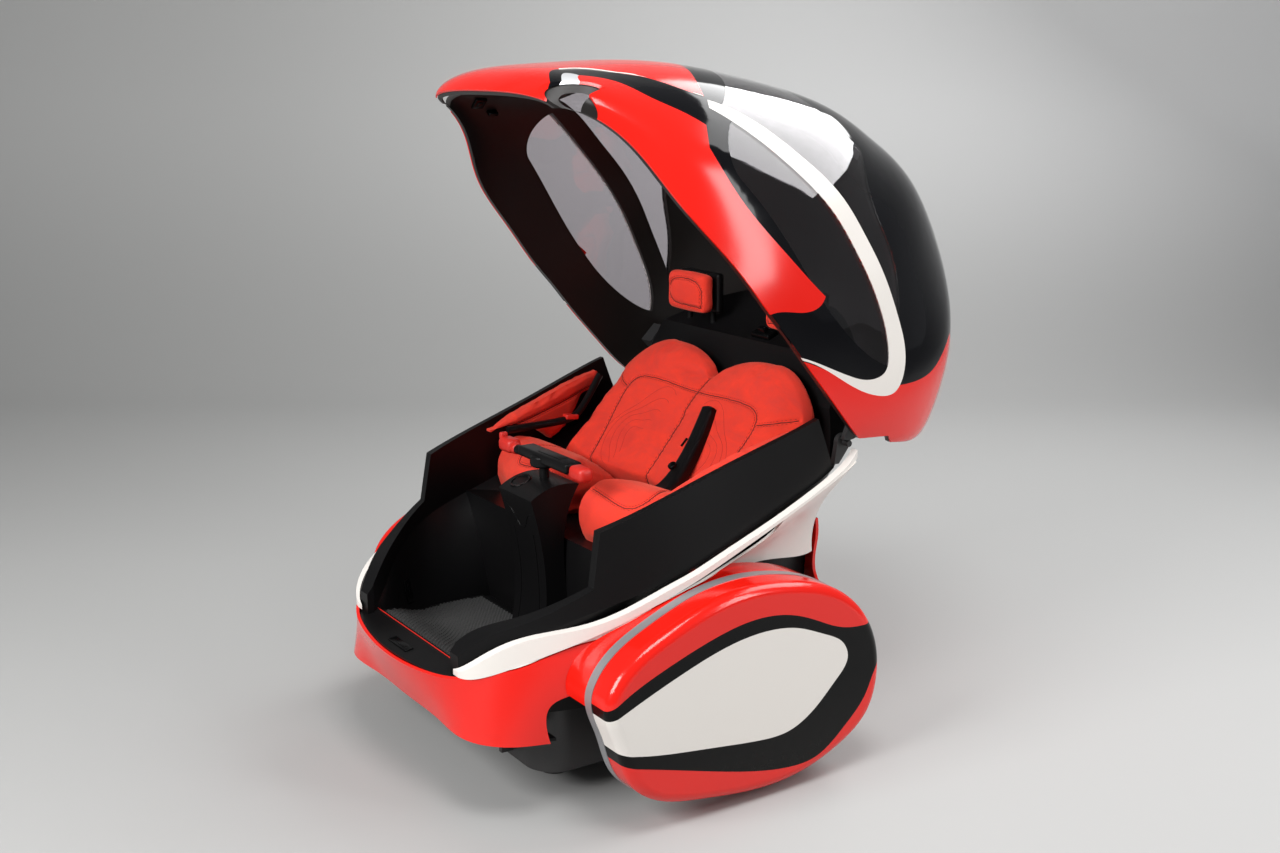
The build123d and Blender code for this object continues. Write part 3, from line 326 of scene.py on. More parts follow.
class FinishBook:
    """Turns finishes into materials and keeps each one."""

    def __init__(self) -> None:
        """Start with the shared texture groups and no materials."""
        self.groups = TextureGroups()
        self.made: dict[str, bpy.types.Material] = {}

    def material(self, finish: Finish) -> bpy.types.Material:
        """Give the material of a finish, made on first use.

        Args:
            finish: The finish.

        Returns:
            Its material.
        """
        if finish.name not in self.made:
            self.made[finish.name] = self._build(finish)
        return self.made[finish.name]

    def _texture(self, surface: Surface) -> bpy.types.NodeTree:
        """Give the texture group that suits a surface."""
        choice = {Surface.PAINT: self.groups.film, Surface.SUEDE: self.groups.nap}
        return choice.get(surface, self.groups.grain)

    def _build(self, finish: Finish) -> bpy.types.Material:
        """Build one material.

        Args:
            finish: The finish to build.

        Returns:
            The new material.
        """
        material = bpy.data.materials.new(finish.name)
        material.use_nodes = True
        sketch = Sketch(material.node_tree)
        output = sketch.add("OutputMaterial")
        shader = sketch.add("BsdfPrincipled", Metallic=finish.metallic, Roughness=finish.roughness)
        sketch.join(shader.outputs["BSDF"], output.inputs["Surface"])
        if finish.surface is Surface.GLAZING:
            fixed = {"Base Color": (*finish.colour, 1.0), "Transmission Weight": 1.0, "IOR": GLASS_IOR,
                     "Coat Weight": 1.0, "Coat Roughness": 0.01}
        else:
            fixed = {"Specular IOR Level": finish.specular, "Coat Weight": finish.coat,
                     "Coat Roughness": 0.03}
            self._pattern(finish, sketch, shader)
        if finish.surface is Surface.SUEDE:
            fixed |= {"Sheen Weight": 0.35, "Sheen Roughness": 0.45, "Sheen Tint": SHEEN_TINT}
        for key, value in fixed.items():
            shader.inputs[key].default_value = value
        return material

    def _pattern(self, finish: Finish, sketch: Sketch, shader: bpy.types.Node) -> None:
        """Drive a shader's colour, roughness and normal by its texture and the settled dust."""
        texture = sketch.add("Group", {"node_tree": self._texture(finish.surface)},
                             Scale=finish.texture_scale)
        low = sketch.add("Group", {"node_tree": self.groups.dust}, Scale=DUST_SCALE)
        tone = sketch.mix(texture.outputs["Shade"], finish.shade, finish.colour)
        share = sketch.math("MULTIPLY", low.outputs["Shade"], DUST_SHARE)
        sketch.join(sketch.mix(share, tone, DUST_COLOUR), shader.inputs["Base Color"])
        swing = sketch.math("MULTIPLY", sketch.math("SUBTRACT", texture.outputs["Shade"], 0.5),
                            finish.variation * finish.roughness)
        sketch.join(sketch.math("ADD", swing, finish.roughness), shader.inputs["Roughness"])
        depth = NAP_DEPTH if finish.surface is Surface.SUEDE else GRAIN_DEPTH
        bump = sketch.add("Bump", Strength=finish.texture_depth, Distance=depth,
                          Height=texture.outputs["Height"])
        sketch.join(bump.outputs["Normal"], shader.inputs["Normal"])


# ---------------------------------------------------------------- the vehicle's parts
@dataclass
class Workshop:
    """What every sub-assembly shares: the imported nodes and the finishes."""
    nodes: dict[str, bpy.types.Object]
    book: FinishBook

    def dress(self, finish: Finish, *names: str) -> None:
        """Give CAD nodes a finish.

        Args:
            finish: The finish.
            *names: The nodes.
        """
        for name in names:
            materials = self.nodes[name].data.materials
            materials.clear()
            materials.append(self.book.material(finish))
            LOG.info("dressed %s in %s", name, finish.name)

    def piece(self, name: str, shape: bmesh.types.BMesh, body: str, finish: Finish,
              slot: str) -> bpy.types.Object:
        """Make a new piece from a bmesh, ready to ride on a body.

        Args:
            name: The piece's name.
            shape: Its shape in metres; it is freed.
            body: The body that it rides on.
            finish: Its finish.
            slot: Not used.

        Returns:
            The new object.
        """
        mesh = bpy.data.meshes.new(name)
        shape.to_mesh(mesh)
        shape.free()
        mesh.shade_smooth()
        made = bpy.data.objects.new(name, mesh)
        bpy.context.scene.collection.objects.link(made)
        made.data.materials.append(self.book.material(finish))
        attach(made, body)
        LOG.info("made %s: %d faces", name, len(mesh.polygons))
        return made

    def thread(self, name: str, strands: Sequence[Sequence[Point]], radius: float, body: str, finish: Finish,
               slot: str) -> bpy.types.Object:
        """Lay round thread or piping along open lines.

        Args:
            name: The piece's name.
            strands: The lines, in metres.
            radius: The thread's radius.
            body: The body that it rides on.
            finish: Its finish.
            slot: The record's material slot.

        Returns:
            The new object.
        """
        curve = bpy.data.curves.new(name, "CURVE")
        curve.dimensions = "3D"
        curve.bevel_depth = radius
        curve.bevel_resolution = 1
        curve.use_fill_caps = True
        for strand in strands:
            line = curve.splines.new("POLY")
            line.points.add(len(strand) - 1)
            for knot, place in zip(line.points, strand):
                knot.co = (*place, 1.0)
        holder = bpy.data.objects.new(name, curve)
        shape = bmesh.new()
        shape.from_mesh(bpy.data.meshes.new_from_object(holder))
        bpy.data.objects.remove(holder)
        bpy.data.curves.remove(curve)
        return self.piece(name, shape, body, finish, slot)


def settle(shape: bmesh.types.BMesh, made: Sequence[bmesh.types.BMVert], edges: Sequence[bmesh.types.BMEdge],
           edge: float, centre: Point, facing: Point) -> None:
    """Round some edges of a new block or drum and put it in its place.

    Args:
        shape: The bmesh that holds it.
        made: Its points.
        edges: The edges to round.
        edge: Their radius.
        centre: Where its middle goes.
        facing: The direction of its height.
    """
    rounded = bmesh.ops.bevel(shape, geom=edges, offset=edge, offset_type="OFFSET", affect="EDGES",
                              segments=3, profile=0.5, material=-1)
    whole = {vert for face in rounded["faces"] for vert in face.verts} | {v for v in made if v.is_valid}
    turn = Vector(facing).to_track_quat("Z", "Y").to_matrix().to_4x4()
    bmesh.ops.transform(shape, matrix=Matrix.Translation(centre) @ turn, verts=list(whole))


def slab(size: Point, centre: Point, edge: float, facing: Point = UP,
         into: bmesh.types.BMesh | None = None) -> bmesh.types.BMesh:
    """Shape a small block with rounded edges.

    Args:
        size: Its width, depth and height.
        centre: Where its middle is.
        edge: The radius of its edges.
        facing: The direction of its height.
        into: A bmesh to add it to.

    Returns:
        The bmesh that holds it.
    """
    shape = into or bmesh.new()
    made = bmesh.ops.create_cube(shape, size=1.0)["verts"]
    bmesh.ops.scale(shape, verts=made, vec=size)
    settle(shape, made, list({line for vert in made for line in vert.link_edges}), edge, centre, facing)
    return shape


def drum(radius: float, depth: float, centre: Point, facing: Point, edge: float, sides: int = 48,
         into: bmesh.types.BMesh | None = None) -> bmesh.types.BMesh:
    """Shape a short round boss with rounded rims.

    Args:
        radius: Its radius.
        depth: Its height.
        centre: Where its middle is.
        facing: The direction of its axis.
        edge: The radius of its rims.
        sides: The number of its sides.
        into: A bmesh to add it to.

    Returns:
        The bmesh that holds it.
    """
    shape = into or bmesh.new()
    made = bmesh.ops.create_cone(shape, cap_ends=True, segments=sides, radius1=radius, radius2=radius,
                                 depth=depth)["verts"]
    rims = [line for line in {line for vert in made for line in vert.link_edges}
            if abs(line.verts[0].co.z - line.verts[1].co.z) < depth / 4]
    settle(shape, made, rims, edge, centre, facing)
    return shape


def search_tree(mesh: bpy.types.Mesh) -> BVHTree:
    """Give a search tree of a mesh's faces."""
    return BVHTree.FromPolygons([vert.co for vert in mesh.vertices],
                                [tuple(face.vertices) for face in mesh.polygons])


def ease(value: float, start: float, end: float) -> float:
    """Rise smoothly from 0 at start to 1 at end."""
    part = min(1.0, max(0.0, (value - start) / (end - start)))
    return part * part * (3.0 - 2.0 * part)


def fill_in(knots: Sequence[Sequence[float]], step: float) -> list[Vector]:
    """Place points evenly along a line.

    Args:
        knots: The corners of the line.
        step: The distance between points.

    Returns:
        The points, the ends among them.
    """
    corners = [Vector(knot) for knot in knots]
    points = [corners[0]]
    for first, last in zip(corners, corners[1:]):
        count = max(1, round((last - first).length / step))
        points += [first.lerp(last, part / count) for part in range(1, count + 1)]
    return points


def rounded_line(knots: Sequence[Sequence[float]], passes: int = 3) -> list[Vector]:
    """Round the corners of a drawn line by cutting them again and again.

    Args:
        knots: The corners of the line.
        passes: How many times they are cut.

    Returns:
        The corners of the rounder line.
    """
    line = [Vector(knot) for knot in knots]
    for _ in range(passes):
        cut = [line[0]]
        for first, last in zip(line, line[1:]):
            cut += [first.lerp(last, 0.25), first.lerp(last, 0.75)]
        line = cut + [line[-1]]
    return line


@dataclass(frozen=True)
class Padding:
    """How one solid of the bench is padded."""
    name: str
    node: str
    cap: float
    rounding: int
    fill: float
    voxel: float = 0.010
    inset: float = 0.010


BACK = Padding("bench_back", "seat_back", 0.020, 6, 0.75)
CUSHIONS = Padding("bench_cushions", "seat_cushions", 0.022, 6, 0.8)
BOLSTERS = Padding("bench_bolsters", "side_bolsters", 0.010, 3, 0.7, voxel=0.008)
RESTS = Padding("headrest_pads", "headrests", 0.008, 14, 0.9, voxel=0.006, inset=0.006)


@dataclass
class Upholstery:
    """Padded, sewn seat parts that stand for the plain solids of the frame."""
    shop: Workshop
    pressure: float = 4.0
    stiffness: float = 25.0
    frames: int = 20
    trace_step: float = 0.005
    channel_depth: float = 0.0045
    channel_width: float = 0.011
    stitch_length: float = 0.0055
    stitch_gap: float = 0.0030
    stitch_offset: float = 0.0050
    thread_radius: float = 0.0006
    piping_radius: float = 0.0013
    stitches: list[list[Point]] = field(default_factory=list)
    piping: list[list[Point]] = field(default_factory=list)

    def pad(self, job: Padding, form: Callable[[Vector], Vector]) -> bpy.types.Object:
        """Turn a CAD solid into a padded piece.

        Args:
            job: How it is padded.
            form: Moves each point of the solid before it is padded.

        Returns:
            The new object.
        """
        shape = bmesh.new()
        shape.from_mesh(self.shop.nodes[job.node].data)
        bmesh.ops.remove_doubles(shape, verts=shape.verts, dist=WELD)
        bmesh.ops.recalc_face_normals(shape, faces=list(shape.faces))
        made = self.shop.piece(job.name, shape, "body", SEAT_SUEDE, "seat_cloth")
        remesh = made.modifiers.new("remesh", "REMESH")
        remesh.mode = "VOXEL"
        remesh.voxel_size = job.voxel
        self._apply(made)
        shape = bmesh.new()
        shape.from_mesh(made.data)
        for vert in shape.verts:
            vert.co = form(vert.co.copy())
        for _ in range(job.rounding):
            bmesh.ops.smooth_vert(shape, verts=shape.verts, factor=0.5, use_axis_x=True, use_axis_y=True,
                                  use_axis_z=True)
        shape.normal_update()
        places = [vert.co - vert.normal * job.inset for vert in shape.verts]
        for vert, place in zip(shape.verts, places):
            vert.co = place
        shape.to_mesh(made.data)
        shape.free()
        self._swell(made, job)
        finer = made.modifiers.new("finer", "SUBSURF")
        finer.levels = finer.render_levels = 1
        self._apply(made)
        made.data.shade_smooth()
        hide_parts(job.node)
        LOG.info("padded %s: %d faces", job.name, len(made.data.polygons))
        return made

    def _swell(self, made: bpy.types.Object, job: Padding) -> None:
        """Blow the cloth out against its own stiffness and hold each point within the cap."""
        before = [vert.co.copy() for vert in made.data.vertices]
        cloth = made.modifiers.new("cloth", "CLOTH")
        cloth.settings.quality = 4
        cloth.settings.mass = 0.4
        cloth.settings.tension_stiffness = cloth.settings.compression_stiffness = self.stiffness
        cloth.settings.use_pressure = True
        cloth.settings.uniform_pressure_force = self.pressure
        cloth.settings.effector_weights.gravity = 0.0
        cloth.collision_settings.use_collision = False
        cloth.point_cache.frame_end = self.frames
        scene = bpy.context.scene
        for frame in range(FIRST_FRAME, self.frames + 1):
            scene.frame_set(frame)
        self._apply(made)
        for vert, place in zip(made.data.vertices, before):
            moved = vert.co - place
            if moved.length > job.cap:
                vert.co = place + moved.normalized() * job.cap
        scene.frame_set(FIRST_FRAME)

    @staticmethod
    def _apply(made: bpy.types.Object) -> None:
        """Put the result of the piece's modifiers in its mesh."""
        graph = bpy.context.evaluated_depsgraph_get()
        finished = bpy.data.meshes.new_from_object(made.evaluated_get(graph))
        made.modifiers.clear()
        old, made.data = made.data, finished
        bpy.data.meshes.remove(old)

    def trace(self, tree: BVHTree, line: Sequence[Sequence[float]], aim: Point) -> Seam:
        """Project a line on a piece.

        Args:
            tree: The search tree of the piece's faces.
            line: Its points, on the near side of the surface.
            aim: The direction in which they are moved to the surface.

        Returns:
            The points and the surface's normals there.
        """
        hits = [tree.ray_cast(place, Vector(aim), SEARCH_REACH) for place in fill_in(line, self.trace_step)]
        return [(hit, normal) for hit, normal, _, _ in hits if hit is not None]

    def sew(self, made: bpy.types.Object, lines: Sequence[Sequence[Sequence[float]]],
            aims: Sequence[Point]) -> None:
        """Pull the cover in along its seams and lay the piping and the stitches.

        Args:
            made: The piece.
            lines: The lines of its seams, on the near side of its surface.
            aims: The direction from each line to the surface.
        """
        tree = search_tree(made.data)
        seams = [self.trace(tree, line, aim) for line, aim in zip(lines, aims)]
        points = [place for seam in seams for place, _ in seam]
        marks = KDTree(len(points))
        for index, place in enumerate(points):
            marks.insert(place, index)
        marks.balance()
        for vert in made.data.vertices:
            _, _, apart = marks.find(vert.co)
            if apart < self.channel_width:
                pull = (1.0 - (apart / self.channel_width) ** 2) ** 2
                vert.co -= vert.normal * self.channel_depth * pull
        cover = search_tree(made.data)
        for seam in seams:
            laid = [cover.find_nearest(place) for place, _ in seam]
            self.piping.append([tuple(place + outward * self.piping_radius * 0.3)
                                for place, outward, _, _ in laid])
            for sign in SIDES:
                self._stitch(cover, seam, sign)

    def _stitch(self, cover: BVHTree, seam: Seam, sign: float) -> None:
        """Lay a row of stitches along one side of a seam."""
        run = 0.0
        for (start, normal), (end, _) in zip(seam, seam[1:]):
            along = end - start
            run += along.length
            if run < self.stitch_length + self.stitch_gap or along.length < WELD:
                continue
            run = 0.0
            side = along.normalized().cross(normal).normalized() * self.stitch_offset * sign
            ends = []
            for reach in (0.0, self.stitch_length):
                hit, outward, _, _ = cover.find_nearest(start + along.normalized() * reach + side)
                ends.append(tuple(hit + outward * self.thread_radius * 0.6))
            self.stitches.append(ends)


@dataclass
class Bench:
    """The two-place bench: backrest with two lobes, cushions, bolsters and headrests."""
    shop: Workshop
    lobe_centre: float = 0.245
    lobe_rise: float = 0.045
    notch_drop: float = 0.016
    shoulder_drop: float = 0.085
    nose_length: float = 0.26
    nose_pull: float = 0.050
    corner_pull: float = 0.075
    nose_drop: float = 0.030
    standoff: float = 0.10
    contour_centre: tuple[float, float] = (0.150, 0.800)
    contour_rings: int = 5
    contour_steps: int = 24
    boxes: dict[str, tuple[Point, Point]] = field(default_factory=dict)

    def build(self) -> None:
        """Make every padded piece, its seams and its stitches."""
        self.boxes = {job.node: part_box(job.node) for job in (BACK, CUSHIONS, RESTS)}
        trade = Upholstery(self.shop)
        covers = {}
        for job, form, seams, aims in (
                (BACK, self._lobes, self._back_seams(), (REARWARD,) * 5),
                (CUSHIONS, self._nose, self._cushion_seams(), (DOWN,) * 2),
                (BOLSTERS, lambda place: place, self._bolster_seams(), ((-1.0, 0.0, 0.0), (1.0, 0.0, 0.0))),
                (RESTS, lambda place: place, self._rest_seams(), (REARWARD,) * 2)):
            covers[job.name] = trade.pad(job, form)
            trade.sew(covers[job.name], seams, aims)
        for name, strands, radius, finish in (
                ("seat_stitches", trade.stitches, trade.thread_radius, SEAM_THREAD),
                ("seat_piping", trade.piping, trade.piping_radius, PIPING)):
            self.shop.thread(name, strands, radius, "body", finish, "seat_cloth")
        self._contours(trade, covers[BACK.name])

    def _lobes(self, place: Vector) -> Vector:
        """Give the backrest its two rounded shoulders with a notch between them."""
        low, high = self.boxes["seat_back"]
        part = ease(place.z, low[2] + 0.55 * (high[2] - low[2]), high[2])
        off = abs(abs(place.x) - self.lobe_centre) / self.lobe_centre
        if abs(place.x) < self.lobe_centre:
            lift = self.lobe_rise - (self.lobe_rise + self.notch_drop) * off ** 2.4
        else:
            lift = self.lobe_rise - (self.lobe_rise + self.shoulder_drop) * off ** 2.2
        place.z += lift * part
        place.y += 0.35 * lift * part
        valley = math.exp(-((place.x / 0.035) ** 2))
        if place.y < (low[1] + high[1]) / 2:
            place.y += 0.012 * valley
        return place

    def _nose(self, place: Vector) -> Vector:
        """Draw the cushions' front corners back and down."""
        low, _ = self.boxes["seat_cushions"]
        front = ease(-place.y, -(low[1] + self.nose_length), -low[1])
        outer = ease(abs(place.x), 0.20, 0.53)
        place.y += front * (self.nose_pull + self.corner_pull * outer)
        place.z -= front * self.nose_drop
        crown = 1.0 - ((abs(place.x) - 0.31) / 0.22) ** 2
        place.z += 0.008 * max(0.0, crown) * (1.0 - front)
        return place

    def _back_seams(self) -> list[list[Point]]:
        """Draw the backrest's seams: its middle, and a panel and a line across it each side."""
        near = self.boxes[BACK.node][0][1] - self.standoff
        lines = [[(0.0, near, 1.045), (0.0, near, 0.66)]]
        for side in SIDES:
            panel = ((0.285, 0.66), (0.300, 0.78), (0.335, 0.90), (0.315, 0.965), (0.20, 0.975), (0.0, 0.963))
            lines.append(rounded_line([(side * x, near, z) for x, z in panel]))
            lines.append([(side * x, near, z) for x, z in ((0.335, 0.93), (0.445, 0.955))])
        return lines

    def _cushion_seams(self) -> list[list[Point]]:
        """Draw the cushions' seams from the backrest round the front roll."""
        high = self.boxes[CUSHIONS.node][1]
        panel = ((0.285, high[1] - 0.03), (0.300, -0.20), (0.345, -0.285), (0.30, -0.345), (0.12, -0.330))
        return [rounded_line([(side * x, y, high[2] + self.standoff) for x, y in panel]) for side in SIDES]

    def _bolster_seams(self) -> list[list[Point]]:
        """Draw a seam a little below the bolsters' top edge."""
        return [[(side * 0.30, y, z) for y, z in ((-0.33, 0.795), (0.07, 0.905))] for side in SIDES]

    def _rest_seams(self) -> list[list[Point]]:
        """Draw a seam round the face of each headrest."""
        low, high = self.boxes[RESTS.node]
        inner, outer, base, top = 0.165, 0.335, low[2] + 0.024, high[2] - 0.024
        loop = ((inner, base), (outer, base), (outer, top), (inner, top), (inner, base))
        near = low[1] - self.standoff / 2
        return [rounded_line([(side * x, near, z) for x, z in loop], 2) for side in SIDES]

    def _contours(self, trade: Upholstery, back: bpy.types.Object) -> None:
        """Sew fine tone-on-tone contour lines on the lower backrest panels."""
        near = self.boxes[BACK.node][0][1] - self.standoff
        cover = search_tree(back.data)
        strands: list[list[Point]] = []
        for side in SIDES:
            centre = Vector((side * self.contour_centre[0], near, self.contour_centre[1]))
            for ring in range(self.contour_rings):
                spread = 0.040 + 0.024 * ring
                arc = []
                for step in range(self.contour_steps + 1):
                    turn = math.radians(-60.0 + 7.5 * step)
                    wobble = 1.0 + 0.16 * math.sin(3.0 * turn + 0.5 * ring)
                    arc.append(centre + Vector((side * math.cos(turn) * spread * wobble, 0.0,
                                                math.sin(turn) * spread * 1.05 * wobble)))
                traced = trade.trace(cover, arc, REARWARD)
                strands.append([tuple(place + normal * 0.0001) for place, normal in traced])
        self.shop.thread("contour_lines", strands, trade.thread_radius, "body", CONTOUR_THREAD, "seat_cloth")


@dataclass(frozen=True)
class Assembly:
    """A group of CAD nodes that is dressed together."""
    name: str
    looks: tuple[tuple[Finish, tuple[str, ...]], ...]

    def dress(self, shop: Workshop) -> None:
        """Finish the group's nodes.

        Args:
            shop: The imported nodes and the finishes.
        """
        LOG.info("dressing the %s", self.name)
        for finish, names in self.looks:
            shop.dress(finish, *names)


ASSEMBLIES = (
    Assembly("canopy", (
        (RED_PAINT, ("canopy_face_panel", "tail_panel", "flank_panels")),
        (ROOF_BLACK, ("roof_panel", "canopy_band")),
        (WHITE_PAINT, ("window_hoops",)),
        (GLAZING, ("windshield", "side_windows")),
        (LAMP_LENS, ("crescent_lamps",)),
        (LINER_BLACK, ("canopy_liner",)),
        (COATED_METAL, ("hinge_arms",)))),
    Assembly("lower body", (
        (RED_PAINT, ("nose_apron", "fenders", "rear_apron", "pod_shells")),
        (WHITE_PAINT, ("front_wedges", "rim_bands", "haunches", "pod_panels")),
        (SATIN_BLACK, ("pod_bezels",)),
        (SILVER_TRIM, ("pod_trims",)),
        (TRIM_BLACK, ("belly_pan",)))),
    Assembly("cabin", (
        (TRIM_BLACK, ("tub", "threshold_plate", "centre_console", "rear_bulkhead", "headrest_shells",
                      "belt_guide", "seat_base", "yoke_body")),
        # floor_mat takes the near-black painted shade of the mat's recesses.
        (MAT_RECESS_SHADE, ("floor_mat",)),
        (GRIP_RED, ("yoke_grips",)))),
    Assembly("running gear", (
        (COATED_METAL, ("chassis_tray", "knuckles", "hinge_brackets", "parking_foot_front",
                        "parking_foot_rear")),
        (BARE_ALLOY, ("battery_pack", "wheel_rim_left", "wheel_rim_right")),
        (TYRE_BLACK, ("tyre_left", "tyre_right")),
        (PAD_RUBBER, ("parking_pad_front", "parking_pad_rear")))))


@dataclass
class Matting:
    """The footwell's rubber mat with its lattice of slanted ribs, and the sill's fittings."""
    shop: Workshop
    pitch: float = 0.0115
    rib_inset: float = 0.0019
    rib_height: float = 0.0026
    stretch: float = 0.72
    margin: float = 0.008
    level_enough: float = 0.6
    line_radius: float = 0.0016
    latch: Point = (0.110, 0.026, 0.005)
    sill_slope: Point = (0.0, -0.11, 0.99)

    def build(self) -> None:
        """Make the mat, the sill's red line and its latch."""
        self._mat()
        low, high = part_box("threshold_plate")
        reach = high[0] - 0.02
        line = [(side * reach, high[1] - 0.002, high[2] + 0.0005) for side in SIDES]
        self.shop.thread("sill_line", [line], self.line_radius, "body", GRIP_RED, "black_trim")
        width, depth, height = self.latch
        centre = (0.0, (low[1] + high[1]) / 2 - 0.012, high[2] - 0.006)
        shape = slab(self.latch, centre, 0.0015, self.sill_slope)
        slab((width * 0.6, depth * 0.45, height), (0.0, centre[1], centre[2] + 0.0015), 0.0012,
             self.sill_slope, into=shape)
        self.shop.piece("sill_latch", shape, "body", SATIN_BLACK, "black_trim")

    def _mat(self) -> None:
        """Lay the mat's sheet and a lattice of ribs on it; the sheet is painted near black as shade in the
        recesses between the ribs.
        """
        sheet = bmesh.new()
        sheet.from_mesh(self.shop.nodes["floor_mat"].data)
        bmesh.ops.remove_doubles(sheet, verts=sheet.verts, dist=WELD)
        cover = BVHTree.FromBMesh(sheet)
        ribs = self._grid()
        missed = []
        for vert in ribs.verts:
            spot, normal, _, _ = cover.ray_cast(vert.co, Vector(DOWN), SEARCH_REACH)
            if spot is not None and normal.z > self.level_enough and self._is_inside(cover, vert.co):
                vert.co = spot
            else:
                missed.append(vert)
        bmesh.ops.delete(ribs, geom=missed, context="VERTS")
        cells = list(ribs.faces)
        bmesh.ops.inset_individual(ribs, faces=cells, thickness=self.rib_inset, depth=0.0)
        bmesh.ops.delete(ribs, geom=cells, context="FACES_ONLY")
        bmesh.ops.recalc_face_normals(ribs, faces=list(ribs.faces))
        if sum(face.normal.z for face in ribs.faces) < 0:
            bmesh.ops.reverse_faces(ribs, faces=list(ribs.faces))
        raised = bmesh.ops.extrude_face_region(ribs, geom=list(ribs.faces))["geom"]
        moved = [item for item in raised if isinstance(item, bmesh.types.BMVert)]
        bmesh.ops.translate(ribs, verts=moved, vec=Vector(UP) * self.rib_height)
        bmesh.ops.recalc_face_normals(ribs, faces=list(ribs.faces))
        # The sheet carries the near-black painted shade of the recesses; the ribs keep the mat's lighter
        # rubber.
        mat = self.shop.piece("footwell_mat", sheet, "body", MAT_RECESS_SHADE, "mat_weave")
        lattice = self.shop.piece("mat_lattice", ribs, "body", MAT_RUBBER, "mat_weave")
        for made in (mat, lattice):
            made.data.shade_flat()
        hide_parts("floor_mat")

    def _grid(self) -> bmesh.types.BMesh:
        """Make a slanted grid that floats above the whole mat."""
        low, high = (Vector(corner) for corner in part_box("floor_mat"))
        middle, reach = (low + high) / 2, (high - low).length / 2
        count = round(2 * reach / self.pitch)
        grid = bmesh.new()
        bmesh.ops.create_grid(grid, x_segments=count, y_segments=count, size=reach)
        bmesh.ops.rotate(grid, verts=grid.verts, cent=(0.0, 0.0, 0.0),
                         matrix=Matrix.Rotation(math.pi / 4, 3, "Z"))
        bmesh.ops.scale(grid, verts=grid.verts, vec=(1.0, self.stretch, 1.0))
        bmesh.ops.translate(grid, verts=grid.verts, vec=(middle.x, middle.y, high.z + 0.05))
        return grid

    def _is_inside(self, cover: BVHTree, place: Vector) -> bool:
        """Tell whether a point lies over the mat with a margin on each side."""
        offsets = [Vector((sign * self.margin, 0.0, 0.0)) for sign in SIDES]
        offsets += [Vector((0.0, sign * self.margin, 0.0)) for sign in SIDES]
        return all(cover.ray_cast(place + offset, Vector(DOWN), SEARCH_REACH)[0] for offset in offsets)


